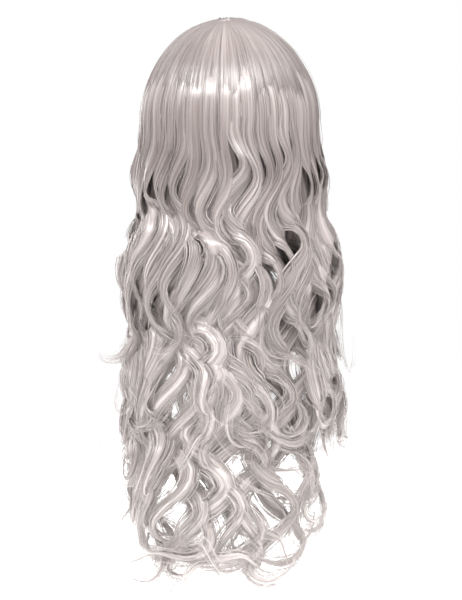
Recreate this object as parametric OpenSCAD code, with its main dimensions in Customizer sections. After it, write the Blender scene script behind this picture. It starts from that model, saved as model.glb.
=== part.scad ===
// Long wavy costume wig: a machine-sewn open-weft cap with its hair.
// The frame's origin is where the top of the wearer's head touches the inside of the cap.
// +Z is up, the face looks along -Y, and the wearer's left is +X.
// Places on the cap are given by azimuth (0 at the back, 90 at the left ear, 180 at the face),
// by latitude (0 at the crown whorl, 90 at the widest level of the head, past 90 towards the nape)
// and by depth outwards from the head's surface.

/* [Head] */
// Half the width of the head that the cap is cut for
head_half_w = 78; // [74:1:82]
// Half the length of the head, from forehead to back
head_half_l = 97; // [93:1:101]
// Height of the crown above the widest level
head_h = 96; // [92:1:100]
// How far the crown whorl lies behind the middle of the head
whorl_back = 22; // [15:1:30]

/* [Cap] */
// Thickness of the stretch net
net_t = 0.8; // [0.6:0.1:1]
// Width of the lace ribs that carry the wefts
rib_w = 8; // [6:1:10]
// Thickness of the lace ribs
rib_t = 1.1; // [0.8:0.1:1.2]
// Number of weft rows down the back
weft_rows = 10; // [8:1:10]
// Height of a sewn weft track
track_h = 3.2; // [2.5:0.1:4]
// Thickness of a sewn weft track
track_t = 1.4; // [1:0.1:1.6]

/* [Adjusters] */
// Width of the elastic straps at the nape
strap_w = 6; // [5:0.5:7]
// Number of loops that each hook can reach
loop_count = 4; // [3:1:4]
// Distance from one loop to the next
loop_pitch = 4; // [3.5:0.25:4.5]

/* [Hair] */
// Thickness of the hair over the crown
crown_hair_t = 7; // [5:1:8]
// Height below the crown where the top layer of curls ends
outer_length = 335; // [300:5:360]
// Height below the crown where the middle layer ends
middle_length = 465; // [430:5:500]
// Height below the crown where the longest layer ends
inner_length = 572; // [540:2:580]
// Height below the crown where the fringe ends
fringe_length = 116; // [105:1:125]
// Length of one wave, measured downwards
wave_pitch = 92; // [80:1:110]
// How far a wave swings sideways, in degrees round the head
wave_sway = 3.2; // [0:0.2:4]
// How far a wave swings in and out
wave_swell = 5; // [0:0.5:6]
// How far the hair at the back stands out from the head lower down
back_flare = 22; // [16:1:28]
// How far the hair at the sides stands out from the head lower down
side_flare = 21; // [14:1:24]

/* [Hidden] */

hair_colour = [0.79, 0.755, 0.75];
shade_colour = [0.70, 0.665, 0.66];
lace_colour = [0.80, 0.74, 0.71];
band_colour = [0.62, 0.58, 0.57];
skin_colour = [0.87, 0.76, 0.69];
clear_colour = [0.85, 0.85, 0.84];

seam_gap = 0.3;          // clear space between sewn pieces
nape_h = 130;            // vertical half axis of the head's lower half
skin_top_lat = 13;       // edge of the closed patch under the whorl
net_lat = 50;            // lower edge of the closed crown net
side_az = 104;           // where the front net starts, level with the front of the ear
rib_pitch = 28;          // azimuth from one rib to the next
tab_az = 112;            // middle of the ear tab, its half width and its upper edge
tab_half = 9;
tab_top = 87;
weft_top_lat = 56;       // latitude of the highest weft row
weft_bottom_lat = 112;   // latitude of the lowest weft row
track_in = net_t + rib_t + 2 * seam_gap;  // depth where the weft tracks start
hair_in = track_in + track_t + 1.2;       // depth where the hair starts
hair_out = hair_in + crown_hair_t;

// Rim of the cap, as the latitude at each azimuth from the back to the face.
rim_points = [
    [0, 122], [38, 121.5], [52, 117], [64, 107], [76, 97], [90, 94], [99, 96],
    [104, 99], [120, 99], [126, 92], [136, 78], [150, 69], [165, 65.5], [180, 64.5]
];
function rim(az) = lookup(abs(az), rim_points);
function face_side(az) = 180 - abs(az - 180);

function ring(az, depth) = [(head_half_w + depth) * sin(az), (head_half_l + depth) * cos(az)];

// A point at a depth over the head.
function skull(az, lat, depth) =
    let (r = ring(az, depth))
    lat <= 90
        ? let (
              g = sin(lat),
              x = g * r.x,
              y = g * r.y + (1 - g) * whorl_back,
              left = 1 - pow(x / (head_half_w + depth), 2) - pow(y / (head_half_l + depth), 2)
          )
          [x, y, (head_h + depth) * sqrt(max(0, left)) - head_h]
        : let (below = lat - 90)
          [r.x * cos(below), r.y * cos(below), -head_h - nape_h * sin(below)];

// A point on hair that hangs straight down from the widest level.
function hang(az, z, depth) = let (r = ring(az, depth)) [r.x, r.y, z];

function steps(from, to, count) = [for (i = [0:count]) from + (to - from) * i / count];
function smooth(t) = let (u = min(1, max(0, t))) u * u * (3 - 2 * u);
function unit(v) = v / norm(v);

// A closed slab between two surfaces, each a list of columns of points that run downwards.
// Columns follow one another in rising azimuth, and closed joins the last to the first.
module sheet(outer, inner, closed = false) {
    cols = len(outer);
    rows = len(outer[0]);
    total = cols * rows;
    spans = closed ? cols : cols - 1;
    function o(i, j) = (i % cols) * rows + j;
    function n(i, j) = total + (i % cols) * rows + j;
    points = concat([for (c = outer) for (p = c) p], [for (c = inner) for (p = c) p]);
    skins = [
        for (i = [0:spans - 1]) for (j = [0:rows - 2]) for (f = [
            [o(i + 1, j), o(i, j), o(i, j + 1)],
            [o(i + 1, j), o(i, j + 1), o(i + 1, j + 1)],
            [n(i, j), n(i + 1, j), n(i + 1, j + 1)],
            [n(i, j), n(i + 1, j + 1), n(i, j + 1)]
        ]) f
    ];
    rims = [
        for (i = [0:spans - 1]) for (f = [
            [o(i, 0), o(i + 1, 0), n(i + 1, 0)],
            [o(i, 0), n(i + 1, 0), n(i, 0)],
            [n(i, rows - 1), n(i + 1, rows - 1), o(i + 1, rows - 1)],
            [n(i, rows - 1), o(i + 1, rows - 1), o(i, rows - 1)]
        ]) f
    ];
    ends = closed ? [] : [
        for (j = [0:rows - 2]) for (f = [
            [o(0, j), n(0, j), n(0, j + 1)],
            [o(0, j), n(0, j + 1), o(0, j + 1)],
            [n(cols - 1, j), o(cols - 1, j), o(cols - 1, j + 1)],
            [n(cols - 1, j), o(cols - 1, j + 1), n(cols - 1, j + 1)]
        ]) f
    ];
    polyhedron(points, concat(skins, rims, ends), convexity = 6);
}

// A slab that lies on the head from latitude top(az) to latitude bottom(az).
module patch(azimuths, top, bottom, depth_in, depth_out, rows, closed = false) {
    function column(az, depth) = [for (lat = steps(top(az), bottom(az), rows)) skull(az, lat, depth)];
    sheet(
        [for (az = azimuths) column(az, depth_out)],
        [for (az = azimuths) column(az, depth_in)],
        closed
    );
}

// A closed bowl round the whorl, down to latitude bottom(az).
module bowl(azimuths, bottom, depth_in, depth_out, rows) {
    cols = len(azimuths);
    function side(depth) = [
        for (az = azimuths) for (j = [1:rows]) skull(az, bottom(az) * j / rows, depth)
    ];
    points = concat([skull(0, 0, depth_out)], side(depth_out), [skull(0, 0, depth_in)], side(depth_in));
    inner_pole = cols * rows + 1;
    function o(i, j) = 1 + (i % cols) * rows + j;
    function n(i, j) = inner_pole + 1 + (i % cols) * rows + j;
    caps = [
        for (i = [0:cols - 1]) for (f = [
            [0, o(i, 0), o(i + 1, 0)],
            [inner_pole, n(i + 1, 0), n(i, 0)]
        ]) f
    ];
    skins = [
        for (i = [0:cols - 1]) for (j = [0:rows - 2]) for (f = [
            [o(i + 1, j), o(i, j), o(i, j + 1)],
            [o(i + 1, j), o(i, j + 1), o(i + 1, j + 1)],
            [n(i, j), n(i + 1, j), n(i + 1, j + 1)],
            [n(i, j), n(i + 1, j + 1), n(i, j + 1)]
        ]) f
    ];
    rims = [
        for (i = [0:cols - 1]) for (f = [
            [n(i, rows - 1), n(i + 1, rows - 1), o(i + 1, rows - 1)],
            [n(i, rows - 1), o(i + 1, rows - 1), o(i, rows - 1)]
        ]) f
    ];
    polyhedron(points, concat(caps, skins, rims), convexity = 6);
}

// A tube through level rings, listed from the top down, whose points run anticlockwise from above.
module ring_tube(rings) {
    n = len(rings[0]);
    last = len(rings) - 1;
    walls = [
        for (k = [0:last - 1]) for (i = [0:n - 1])
            let (j = (i + 1) % n)
            for (f = [
                [k * n + i, k * n + j, (k + 1) * n + j],
                [k * n + i, (k + 1) * n + j, (k + 1) * n + i]
            ]) f
    ];
    lid = [for (i = [n - 1:-1:0]) i];
    foot = [for (i = [0:n - 1]) last * n + i];
    polyhedron([for (r = rings) for (p = r) p], concat([lid], walls, [foot]), convexity = 4);
}

// cap

all_round = steps(0, 350, 35);

module skin_top() {
    color(skin_colour)
        bowl(all_round, function (az) skin_top_lat, 0, net_t, 2);
}

module crown_net() {
    color(lace_colour)
        patch(all_round, function (az) skin_top_lat + 0.4, function (az) net_lat, 0, net_t, 5, true);
}

front_steps = steps(side_az, 360 - side_az, 20);
band_steps = steps(tab_az + tab_half + 1.5, 360 - tab_az - tab_half - 1.5, 22);

module front_net() {
    color(lace_colour)
        patch(
            front_steps,
            function (az) net_lat + 0.4,
            function (az) min(rim(face_side(az)) - 8, tab_top - 0.5),
            0, net_t, 3
        );
}

module front_band() {
    color(band_colour)
        patch(
            band_steps,
            function (az) rim(face_side(az)) - 7.6,
            function (az) rim(face_side(az)),
            0, 1.5, 1
        );
}

// The tab in front of the left ear, which bends at its upper edge.
module ear_tab() {
    color(band_colour)
        patch(
            steps(tab_az - tab_half, tab_az + tab_half, 8),
            function (az) tab_top,
            function (az) tab_top + 17 * sqrt(1.05 - pow((az - tab_az) / tab_half, 2)),
            0, 1.2, 4
        );
}

// The springy stay sewn on the tab, which keeps the bend that a hand gives it.
module ear_stay() {
    color(clear_colour)
        patch(
            steps(tab_az - 1.2, tab_az + 1.2, 2),
            function (az) tab_top + 1.5,
            function (az) tab_top + 14,
            1.4, 2.2, 3
        );
}

module lace_rib(index) {
    az = (index - 4) * rib_pitch;
    half = rib_w / 2 / head_half_l * 180 / PI;
    color(lace_colour)
        patch(
            steps(az - half, az + half, 1),
            function (a) net_lat - 2,
            function (a) rim(az) - 2,
            net_t + seam_gap, net_t + seam_gap + rib_t, 8
        );
}

module nape_band() {
    color(band_colour)
        patch(
            steps(-49, 49, 14),
            function (az) rim(az) - 7,
            function (az) rim(az),
            0, net_t, 1
        );
}

module side_band() {
    color(band_colour)
        patch(
            steps(49.5, 102, 12),
            function (az) rim(az) - 5,
            function (az) rim(az),
            0, net_t, 1
        );
}

// nape adjusters, drawn for the left side

adjuster_az = 27;
adjuster_lat = 110;
strap_end_az = 63;
strap_end_lat = 104.5;
strap_t = 1;
tape_w = 9;
tape_t = 0.8;
hook_travel = (loop_count - 1) * loop_pitch;
tape_l = hook_travel + 8;
loop_w = 1.6;
channel_w = 4.6;
channel_h = 2;
bar_t = 0.7;
tongue_w = 3.2;
tongue_t = 0.9;
nose_l = 2;              // how far the tongue reaches past its loop
tongue_l = hook_travel + 1.4;  // from the loop to the eye, so that the eye stops short of it
eye_w = strap_w + 3;
eye_l = 4.5;
eye_slot = 1.8;
hook_x = hook_travel / 2;
curve_d = 172;           // twice the cap's radius of curvature along the nape

// The adjuster's own axes on the inside of the cap: x runs towards the ear, y up the cap
// and z into the head space.
seat_depth = -0.6 - pow(tape_l / 2, 2) / curve_d;
seat = skull(adjuster_az, adjuster_lat, seat_depth);
inward = unit(skull(adjuster_az, adjuster_lat, 0) - skull(adjuster_az, adjuster_lat, 1));
strap_run = skull(strap_end_az, strap_end_lat, 0) - seat;
along = unit(strap_run - inward * (strap_run * inward));
upward = cross(inward, along);

module at_adjuster() {
    multmatrix([
        [along.x, upward.x, inward.x, seat.x],
        [along.y, upward.y, inward.y, seat.y],
        [along.z, upward.z, inward.z, seat.z],
        [0, 0, 0, 1]
    ]) children();
}

// A tape with a row of thread loops, which stand over the channel that the tongue runs in.
module loop_tape() {
    color(lace_colour)
        at_adjuster()
            union() {
                translate([-tape_l / 2, -tape_w / 2, 0])
                    cube([tape_l, tape_w, tape_t]);
                for (i = [0:loop_count - 1])
                    translate([hook_x - i * loop_pitch, 0, tape_t])
                        thread_loop();
            }
}

module thread_loop() {
    out_w = channel_w + 2 * bar_t;
    difference() {
        translate([-loop_w / 2, -out_w / 2, -tape_t / 2])
            cube([loop_w, out_w, tape_t / 2 + channel_h + bar_t]);
        translate([-loop_w, -channel_w / 2, 0])
            cube([2 * loop_w, channel_w, channel_h]);
    }
}

// The hook: a tongue with a round nose, and an eye for the strap.
module strap_hook() {
    color(clear_colour)
        at_adjuster()
            translate([hook_x, 0, tape_t + (channel_h - tongue_t) / 2])
                union() {
                    translate([-nose_l, -tongue_w / 2, 0])
                        cube([nose_l + tongue_l + 1, tongue_w, tongue_t]);
                    translate([-nose_l, 0, 0])
                        cylinder(h = tongue_t, r = tongue_w / 2, $fn = 32);
                    translate([tongue_l, -eye_w / 2, 0])
                        difference() {
                            cube([eye_l, eye_w, tongue_t]);
                            translate([(eye_l - eye_slot) / 2, 1.2, -1])
                                cube([eye_slot, eye_w - 2.4, 3]);
                        }
                }
}

// The elastic strap from the hook's eye to the band behind the ear.
strap_start_az = adjuster_az + (hook_x + tongue_l + eye_l + 0.8) * 360 / (PI * curve_d);
strap_half_lat = strap_w / 2 / nape_h * 180 / PI;
module strap() {
    azimuths = steps(strap_start_az, strap_end_az, 5);
    function middle(az) =
        adjuster_lat + (strap_end_lat - adjuster_lat) * (az - adjuster_az) / (strap_end_az - adjuster_az);
    function lift(az) = -0.4 + 0.2 * (strap_end_az - az) / (strap_end_az - strap_start_az);
    function edge_points(az, depth) =
        [for (side = [-1, 1]) skull(az, middle(az) + side * strap_half_lat, depth)];
    color(band_colour)
        sheet(
            [for (az = azimuths) edge_points(az, lift(az))],
            [for (az = azimuths) edge_points(az, lift(az) - strap_t)]
        );
}

// A blank label sewn inside the back of the cap.
module size_label() {
    color("white")
        patch(
            steps(-11, 11, 4),
            function (az) 100,
            function (az) 109,
            0.2, 0.7, 1
        );
}

function weft_lat(row) = weft_top_lat + (weft_bottom_lat - weft_top_lat) * (row - 1) / (weft_rows - 1);
function weft_reach(row) = row <= 4 ? 104 : row <= 6 ? 94 : row <= 8 ? 66 : 50;

module weft_track(row) {
    half = track_h / 2 / (weft_lat(row) > 90 ? nape_h : head_h) * 180 / PI;
    if (row <= weft_rows)
        color(shade_colour)
            patch(
                steps(-weft_reach(row), weft_reach(row), 2 * ceil(weft_reach(row) / 9)),
                function (az) weft_lat(row) - half,
                function (az) weft_lat(row) + half,
                track_in, track_in + track_t, 1
            );
}

// hair on the cap

fall_back_az = 62;       // the back's falling hair reaches this far round
fall_side_az = [69, 134];
upper_split_az = 66;     // where the back's and the sides' upper hair meet
upper_end = -140;        // where the hair on the cap ends
bend_top = -145;         // where the bending stretch starts, with room to turn below the cap's hair
fall_top = -176;         // where the hanging locks start
crown_edge_lat = 66;     // where the crown's hair ends and the hair below it starts
fringe_reach = 43;       // the fringe's half width in azimuth
fringe_locks = 7;
fringe_t = 5;

module crown_hair() {
    color(hair_colour)
        bowl(all_round, function (az) crown_edge_lat, hair_in, hair_out, 6);
}

// Hair over the side or back of the cap, down to where it bends.
function upper_column(az, depth) = concat(
    [for (lat = steps(crown_edge_lat + 0.3, 90, 3)) skull(az, lat, depth)],
    [for (z = steps(-head_h - 10, upper_end, 2)) hang(az, z, depth)]
);

module upper_hair(azimuths) {
    color(hair_colour)
        sheet(
            [for (az = azimuths) upper_column(az, hair_out)],
            [for (az = azimuths) upper_column(az, hair_in)]
        );
}

// The stretch where the hair bends as it is lifted. It widens to meet the locks below.
module bend_hair(azimuths) {
    levels = steps(bend_top, fall_top + seam_gap, 3);
    function widen(z) = smooth((bend_top - z) / (bend_top - fall_top));
    color(shade_colour)
        sheet(
            [for (az = azimuths) [for (z = levels) hang(az, z, hair_out + 7 * widen(z))]],
            [for (az = azimuths) [for (z = levels) hang(az, z, hair_in - 7 * widen(z))]]
        );
}

// Flat locks that lie over the forehead.
function fringe_column(mid, az, end, depth) = concat(
    [for (lat = steps(crown_edge_lat + 1.5, 90, 4)) skull(az, lat, depth)],
    [hang(mid + (az - mid) * 0.9, -head_h - 8, depth), hang(mid + (az - mid) * 0.6, end, depth)]
);

module fringe_hair() {
    lane = 2 * fringe_reach / fringe_locks;
    color(hair_colour)
        for (i = [0:fringe_locks - 1]) {
            off = (i - (fringe_locks - 1) / 2) * lane;
            end = -fringe_length - 4 * pow(off / fringe_reach, 2);
            columns = steps(180 + off - lane * 0.46, 180 + off + lane * 0.46, 2);
            sheet(
                [for (az = columns) fringe_column(180 + off, az, end, hair_in + fringe_t)],
                [for (az = columns) fringe_column(180 + off, az, end, hair_in)]
            );
        }
}

// hanging locks

// One lock, as level oval rings round a waving centre line in its own lane of azimuth.
module lock(az, depth, end, half_az, half_t, gather, flare) {
    length = fall_top - end;
    count = ceil(length / 21);
    sides = 8;
    color(hair_colour)
        ring_tube([
            for (k = [0:count])
                let (
                    drop = length * k / count,
                    z = fall_top - drop,
                    ramp = smooth(drop / 110),
                    lane = 1 - gather * smooth(drop / 330),
                    sway = wave_sway * ramp * sin(360 * drop / wave_pitch),
                    swell = flare * smooth(drop / 190) + ramp * wave_swell * cos(360 * drop / wave_pitch),
                    body = 0.72 + 0.28 * smooth(drop / 30),
                    tip = 1 - 0.82 * pow(smooth((drop - length * 0.55) / (length * 0.45)), 1.2)
                )
                [
                    for (s = [0:sides - 1])
                        let (a = 360 * s / sides)
                        hang(
                            az * lane + sway + half_az * lane * body * tip * cos(a),
                            z,
                            depth + swell + half_t * body * tip * sin(a)
                        )
                ]
        ]);
}

module back_locks(count, depth, length, gather, half_t) {
    lane = 2 * (fall_back_az - 0.5) / count;
    for (i = [0:count - 1])
        let (az = (i - (count - 1) / 2) * lane, ragged = 14 * sin(i * 137 + count * 50))
        lock(az, depth, -length + abs(ragged), lane * 0.44, half_t, gather, back_flare);
}

module side_locks(count, depth, length, half_t) {
    lane = (fall_side_az[1] - fall_side_az[0]) / count;
    for (i = [0:count - 1])
        let (az = fall_side_az[0] + (i + 0.5) * lane, ragged = 16 * sin(i * 97 + count * 31))
        lock(az, depth, -length + abs(ragged), lane * 0.43, half_t, 0, side_flare);
}

module mirror_side() {
    mirror([1, 0, 0]) children();
}

upper_side_steps = steps(upper_split_az + 0.2, fall_side_az[1], 8);
upper_back_steps = steps(-upper_split_az, upper_split_az, 14);
side_steps = steps(fall_side_az[0], fall_side_az[1], 8);
back_steps = steps(-fall_back_az, fall_back_az, 14);

skin_top();
crown_net();
front_net();
front_band();
ear_tab();  // left_ear_tab
mirror_side() ear_tab();  // right_ear_tab
ear_stay();  // left_ear_stay
mirror_side() ear_stay();  // right_ear_stay
for (i = [1:7])
    lace_rib(i);
nape_band();
side_band();  // left_side_band
mirror_side() side_band();  // right_side_band
loop_tape();  // left_loop_tape
mirror_side() loop_tape();  // right_loop_tape
strap();  // left_strap
mirror_side() strap();  // right_strap
strap_hook();  // left_strap_hook
mirror_side() strap_hook();  // right_strap_hook
size_label();
for (row = [1:10])
    weft_track(row);
crown_hair();
fringe_hair();
upper_hair(upper_side_steps);  // left_upper_hair
mirror_side() upper_hair(upper_side_steps);  // right_upper_hair
upper_hair(upper_back_steps);  // back_upper_hair
bend_hair(side_steps);  // left_bend_hair
mirror_side() bend_hair(side_steps);  // right_bend_hair
bend_hair(back_steps);  // back_bend_hair
back_locks(9, 17, outer_length, 0, 4.4);  // back_outer_locks
back_locks(8, 7.4, middle_length, 0.25, 4.2);  // back_middle_locks
back_locks(7, -2, inner_length, 0.4, 4.2);  // back_inner_locks
side_locks(4, 15, outer_length, 4.6);  // left_outer_locks
side_locks(4, 5, middle_length, 4.2);  // left_inner_locks
mirror_side() side_locks(4, 15, outer_length, 4.6);  // right_outer_locks
mirror_side() side_locks(4, 5, middle_length, 4.2);  // right_inner_locks
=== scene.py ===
import math
import random

import bpy
import numpy as np
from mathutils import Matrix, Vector


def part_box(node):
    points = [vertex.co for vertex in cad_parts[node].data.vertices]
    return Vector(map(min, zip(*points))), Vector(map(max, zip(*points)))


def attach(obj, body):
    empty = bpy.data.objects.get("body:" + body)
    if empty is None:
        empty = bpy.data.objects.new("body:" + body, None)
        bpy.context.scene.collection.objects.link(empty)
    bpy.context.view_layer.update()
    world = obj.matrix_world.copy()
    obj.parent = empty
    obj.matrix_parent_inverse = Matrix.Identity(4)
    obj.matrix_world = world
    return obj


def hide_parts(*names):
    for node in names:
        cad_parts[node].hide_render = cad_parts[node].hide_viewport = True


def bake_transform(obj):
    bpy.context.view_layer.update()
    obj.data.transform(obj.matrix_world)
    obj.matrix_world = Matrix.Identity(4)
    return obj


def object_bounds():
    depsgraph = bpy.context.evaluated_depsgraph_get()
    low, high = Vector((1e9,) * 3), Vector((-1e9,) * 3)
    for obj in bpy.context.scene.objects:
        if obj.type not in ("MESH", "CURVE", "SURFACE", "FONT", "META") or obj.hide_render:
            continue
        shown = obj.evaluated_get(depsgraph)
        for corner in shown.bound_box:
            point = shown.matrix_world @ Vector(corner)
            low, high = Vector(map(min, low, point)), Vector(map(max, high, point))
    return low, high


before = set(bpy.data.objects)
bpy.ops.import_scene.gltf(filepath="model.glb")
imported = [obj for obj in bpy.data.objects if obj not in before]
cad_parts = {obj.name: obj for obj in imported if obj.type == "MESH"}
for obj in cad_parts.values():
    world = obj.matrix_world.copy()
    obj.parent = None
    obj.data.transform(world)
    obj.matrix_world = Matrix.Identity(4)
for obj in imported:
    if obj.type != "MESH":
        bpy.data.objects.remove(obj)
cadBox = [list(corner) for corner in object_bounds()]
print("frame loaded:", len(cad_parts), "nodes")

mm = 0.001
scene = bpy.context.scene

# the head that the cap is cut for, read from the frame where it can be
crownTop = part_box("crown_hair")[1][2]  # the hair's thickness over the head, cap included
head = {
    "halfWidth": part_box("left_upper_hair")[1][0] - crownTop,
    "halfLength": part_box("back_upper_hair")[1][1] - crownTop,
    "height": 96 * mm,
    "napeHeight": 130 * mm,
    "whorlBack": 22 * mm,
    "hangPerDegree": 1.6 * mm,  # past the widest level the hair hangs, counted on as latitude
}
hairFoot = cadBox[0][2]
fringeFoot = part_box("fringe_hair")[0][2]
rimPoints = [
    (0, 122), (38, 121.5), (52, 117), (64, 107), (76, 97), (90, 94), (99, 96),
    (104, 99), (120, 99), (126, 92), (136, 78), (150, 69), (165, 65.5), (180, 64.5),
]


def smooth(value):
    value = np.clip(value, 0, 1)
    return value * value * (3 - 2 * value)


def unit(vectors):
    return vectors / np.maximum(np.linalg.norm(vectors, axis=-1, keepdims=True), 1e-9)


def folded(azimuth):
    return np.abs((np.asarray(azimuth, float) + 180) % 360 - 180)


def rim(azimuth):
    return np.interp(folded(azimuth), [p[0] for p in rimPoints], [p[1] for p in rimPoints])


def ring(azimuth, depth):
    angle = np.radians(azimuth)
    across = (head["halfWidth"] + depth) * np.sin(angle)
    along = (head["halfLength"] + depth) * np.cos(angle)
    return across, along


# azimuth 0 is the back, 90 the left ear and 180 the face; latitude 0 is the whorl, 90 the widest level
def skull(azimuth, latitude, depth):
    azimuth, latitude, depth = np.broadcast_arrays(
        np.asarray(azimuth, float), np.asarray(latitude, float), np.asarray(depth, float)
    )
    across, along = ring(azimuth, depth)
    grow = np.sin(np.radians(np.minimum(latitude, 90)))
    x = grow * across
    y = grow * along + (1 - grow) * head["whorlBack"]
    wide = head["halfWidth"] + depth
    long = head["halfLength"] + depth
    left = np.maximum(0, 1 - (x / wide) ** 2 - (y / long) ** 2)
    z = (head["height"] + depth) * np.sqrt(left) - head["height"]
    below = np.radians(np.maximum(latitude - 90, 0))
    low = latitude > 90
    x = np.where(low, across * np.cos(below), x)
    y = np.where(low, along * np.cos(below), y)
    z = np.where(low, -head["height"] - head["napeHeight"] * np.sin(below), z)
    return np.stack([x, y, z], axis=-1)


# the same head with straight sides below its widest level, as the hair hangs
def hairSurface(azimuth, latitude, depth):
    azimuth, latitude, depth = np.broadcast_arrays(
        np.asarray(azimuth, float), np.asarray(latitude, float), np.asarray(depth, float)
    )
    across, along = ring(azimuth, depth)
    z = -head["height"] - head["hangPerDegree"] * (latitude - 90)
    hanging = np.stack([across, along, z], axis=-1)
    return np.where((latitude > 90)[..., None], hanging, skull(azimuth, np.minimum(latitude, 90), depth))


def outwardAt(azimuth):
    angle = np.radians(azimuth)
    x = np.sin(angle) / head["halfWidth"]
    y = np.cos(angle) / head["halfLength"]
    return unit(np.stack([x, y, np.zeros_like(x)], axis=-1))


def normalAt(azimuth, latitude):
    return unit(skull(azimuth, latitude, 1 * mm) - skull(azimuth, latitude, 0))


def addMesh(name, points, edges, faces):
    mesh = bpy.data.meshes.new(name)
    mesh.from_pydata(np.asarray(points, float).tolist(), edges, faces)
    mesh.update()
    piece = bpy.data.objects.new(name, mesh)
    scene.collection.objects.link(piece)
    return piece


def storeVectors(mesh, name, values):
    attribute = mesh.attributes.new(name, "FLOAT_VECTOR", "POINT")
    attribute.data.foreach_set("vector", np.asarray(values, np.float32).ravel())


def storeFloats(mesh, name, values):
    attribute = mesh.attributes.new(name, "FLOAT", "POINT")
    attribute.data.foreach_set("value", np.asarray(values, np.float32).ravel())


def shadeSmooth(piece):
    piece.data.polygons.foreach_set("use_smooth", [True] * len(piece.data.polygons))
    return piece


def countTriangles(piece):
    return sum(len(polygon.vertices) - 2 for polygon in piece.data.polygons)


# the faces turned over if the closed mesh would otherwise be inside out
def facingOut(points, faces):
    points = np.asarray(points, float)
    first = points[[face[0] for face in faces]]
    second = points[[face[1] for face in faces]]
    third = points[[face[2] for face in faces]]
    last = points[[face[-1] for face in faces]]
    volume = np.sum(np.cross(first, second) * third) + np.sum(np.cross(first, third) * last)
    return faces if volume > 0 else [tuple(reversed(face)) for face in faces]


# a closed slab between two grids of points, each indexed by column round the head and by row downwards
def slabMesh(name, outer, inner, wrap=False, poles=None):
    columns, rows = outer.shape[:2]
    base = columns * rows
    points = list(outer.reshape(-1, 3)) + list(inner.reshape(-1, 3)) + list(poles or [])
    faces = []
    for i in range(columns if wrap else columns - 1):
        a, b = i * rows, (i + 1) % columns * rows
        for j in range(rows - 1):
            faces.append((a + j, b + j, b + j + 1, a + j + 1))
            faces.append((base + a + j + 1, base + b + j + 1, base + b + j, base + a + j))
        faces.append((a + rows - 1, b + rows - 1, base + b + rows - 1, base + a + rows - 1))
        if poles:
            faces.append((b, a, 2 * base))
            faces.append((base + a, base + b, 2 * base + 1))
        else:
            faces.append((base + a, base + b, b, a))
    if not wrap:
        last = (columns - 1) * rows
        for j in range(rows - 1):
            faces.append((j, j + 1, base + j + 1, base + j))
            faces.append((base + last + j, base + last + j + 1, last + j + 1, last + j))
    return shadeSmooth(addMesh(name, points, [], facingOut(points, faces)))


def setInput(modifier, label, value):
    for item in modifier.node_group.interface.items_tree:
        if item.item_type == "SOCKET" and item.in_out == "INPUT" and item.name == label:
            modifier[item.identifier] = value


# the piece as its node tree makes it, as a plain mesh of its own
def bakedPiece(piece, tree, settings):
    name = piece.name
    modifier = piece.modifiers.new("make", "NODES")
    modifier.node_group = tree
    for label, value in settings.items():
        setInput(modifier, label, value)
    bpy.context.view_layer.update()
    evaluated = piece.evaluated_get(bpy.context.evaluated_depsgraph_get())
    mesh = bpy.data.meshes.new_from_object(evaluated)
    bpy.data.objects.remove(piece)
    mesh.name = name
    finished = bpy.data.objects.new(name, mesh)
    scene.collection.objects.link(finished)
    return finished


# several pieces of one body joined into the first
def joined(name, pieces):
    with bpy.context.temp_override(
        active_object=pieces[0], selected_editable_objects=pieces, object=pieces[0]
    ):
        bpy.ops.object.join()
    pieces[0].name = name
    pieces[0].data.name = name
    return pieces[0]


def newMaterial(name):
    material = bpy.data.materials.new(name)
    material.use_nodes = True
    tree = material.node_tree
    return material, tree, next(n for n in tree.nodes if n.type == "BSDF_PRINCIPLED")


def attributeNode(tree, name):
    node = tree.nodes.new("ShaderNodeAttribute")
    node.attribute_name = name
    return node


def rampNode(tree, source, stops):
    ramp = tree.nodes.new("ShaderNodeValToRGB")
    elements = ramp.color_ramp.elements
    while len(elements) < len(stops):
        elements.new(0.5)
    for element, (position, colour) in zip(elements, stops):
        element.position = position
        element.color = (*colour, 1)
    tree.links.new(source, ramp.inputs["Fac"])
    return ramp.outputs["Color"]


def multiply(tree, first, second, factor=1.0):
    mix = tree.nodes.new("ShaderNodeMix")
    mix.data_type = "RGBA"
    mix.blend_type = "MULTIPLY"
    mix.inputs["Factor"].default_value = factor
    tree.links.new(first, mix.inputs["A"])
    tree.links.new(second, mix.inputs["B"])
    return mix.outputs["Result"]


def noiseNode(tree, vector, scale, detail=2.0):
    noise = tree.nodes.new("ShaderNodeTexNoise")
    noise.inputs["Scale"].default_value = scale
    noise.inputs["Detail"].default_value = detail
    tree.links.new(vector, noise.inputs["Vector"])
    return noise.outputs["Fac"]


def stretched(tree, vector, scale):
    mapping = tree.nodes.new("ShaderNodeMapping")
    mapping.inputs["Scale"].default_value = scale
    tree.links.new(vector, mapping.inputs["Vector"])
    return mapping.outputs["Vector"]


def addBump(tree, shader, height, strength, distance):
    bump = tree.nodes.new("ShaderNodeBump")
    bump.inputs["Strength"].default_value = strength
    bump.inputs["Distance"].default_value = distance
    tree.links.new(height, bump.inputs["Height"])
    tree.links.new(bump.outputs["Normal"], shader.inputs["Normal"])


def addRoughness(tree, shader, source, low, high):
    spread = tree.nodes.new("ShaderNodeMapRange")
    spread.inputs["To Min"].default_value = low
    spread.inputs["To Max"].default_value = high
    tree.links.new(source, spread.inputs["Value"])
    tree.links.new(spread.outputs["Result"], shader.inputs["Roughness"])


hairFinish = {
    "root": (0.44, 0.388, 0.375),
    # the darkest stop, about a fifth of the way down the hair where it turns to hang, is painted shade
    "nape": (0.30, 0.258, 0.250),
    "middle": (0.50, 0.445, 0.432),
    "tip": (0.80, 0.74, 0.722),
    "darkStrandAndShade": (0.44, 0.41, 0.40),
    "roughness": 0.32,
    "specular": 0.55,
    "anisotropy": 0.8,  # the shine lies across the fibres, as a band round the head
    "sheen": 0.12,
    "stops": {"root": 0.07, "nape": 0.19, "middle": 0.3, "tip": 0.9},  # shares of the hair's length
}


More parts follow.
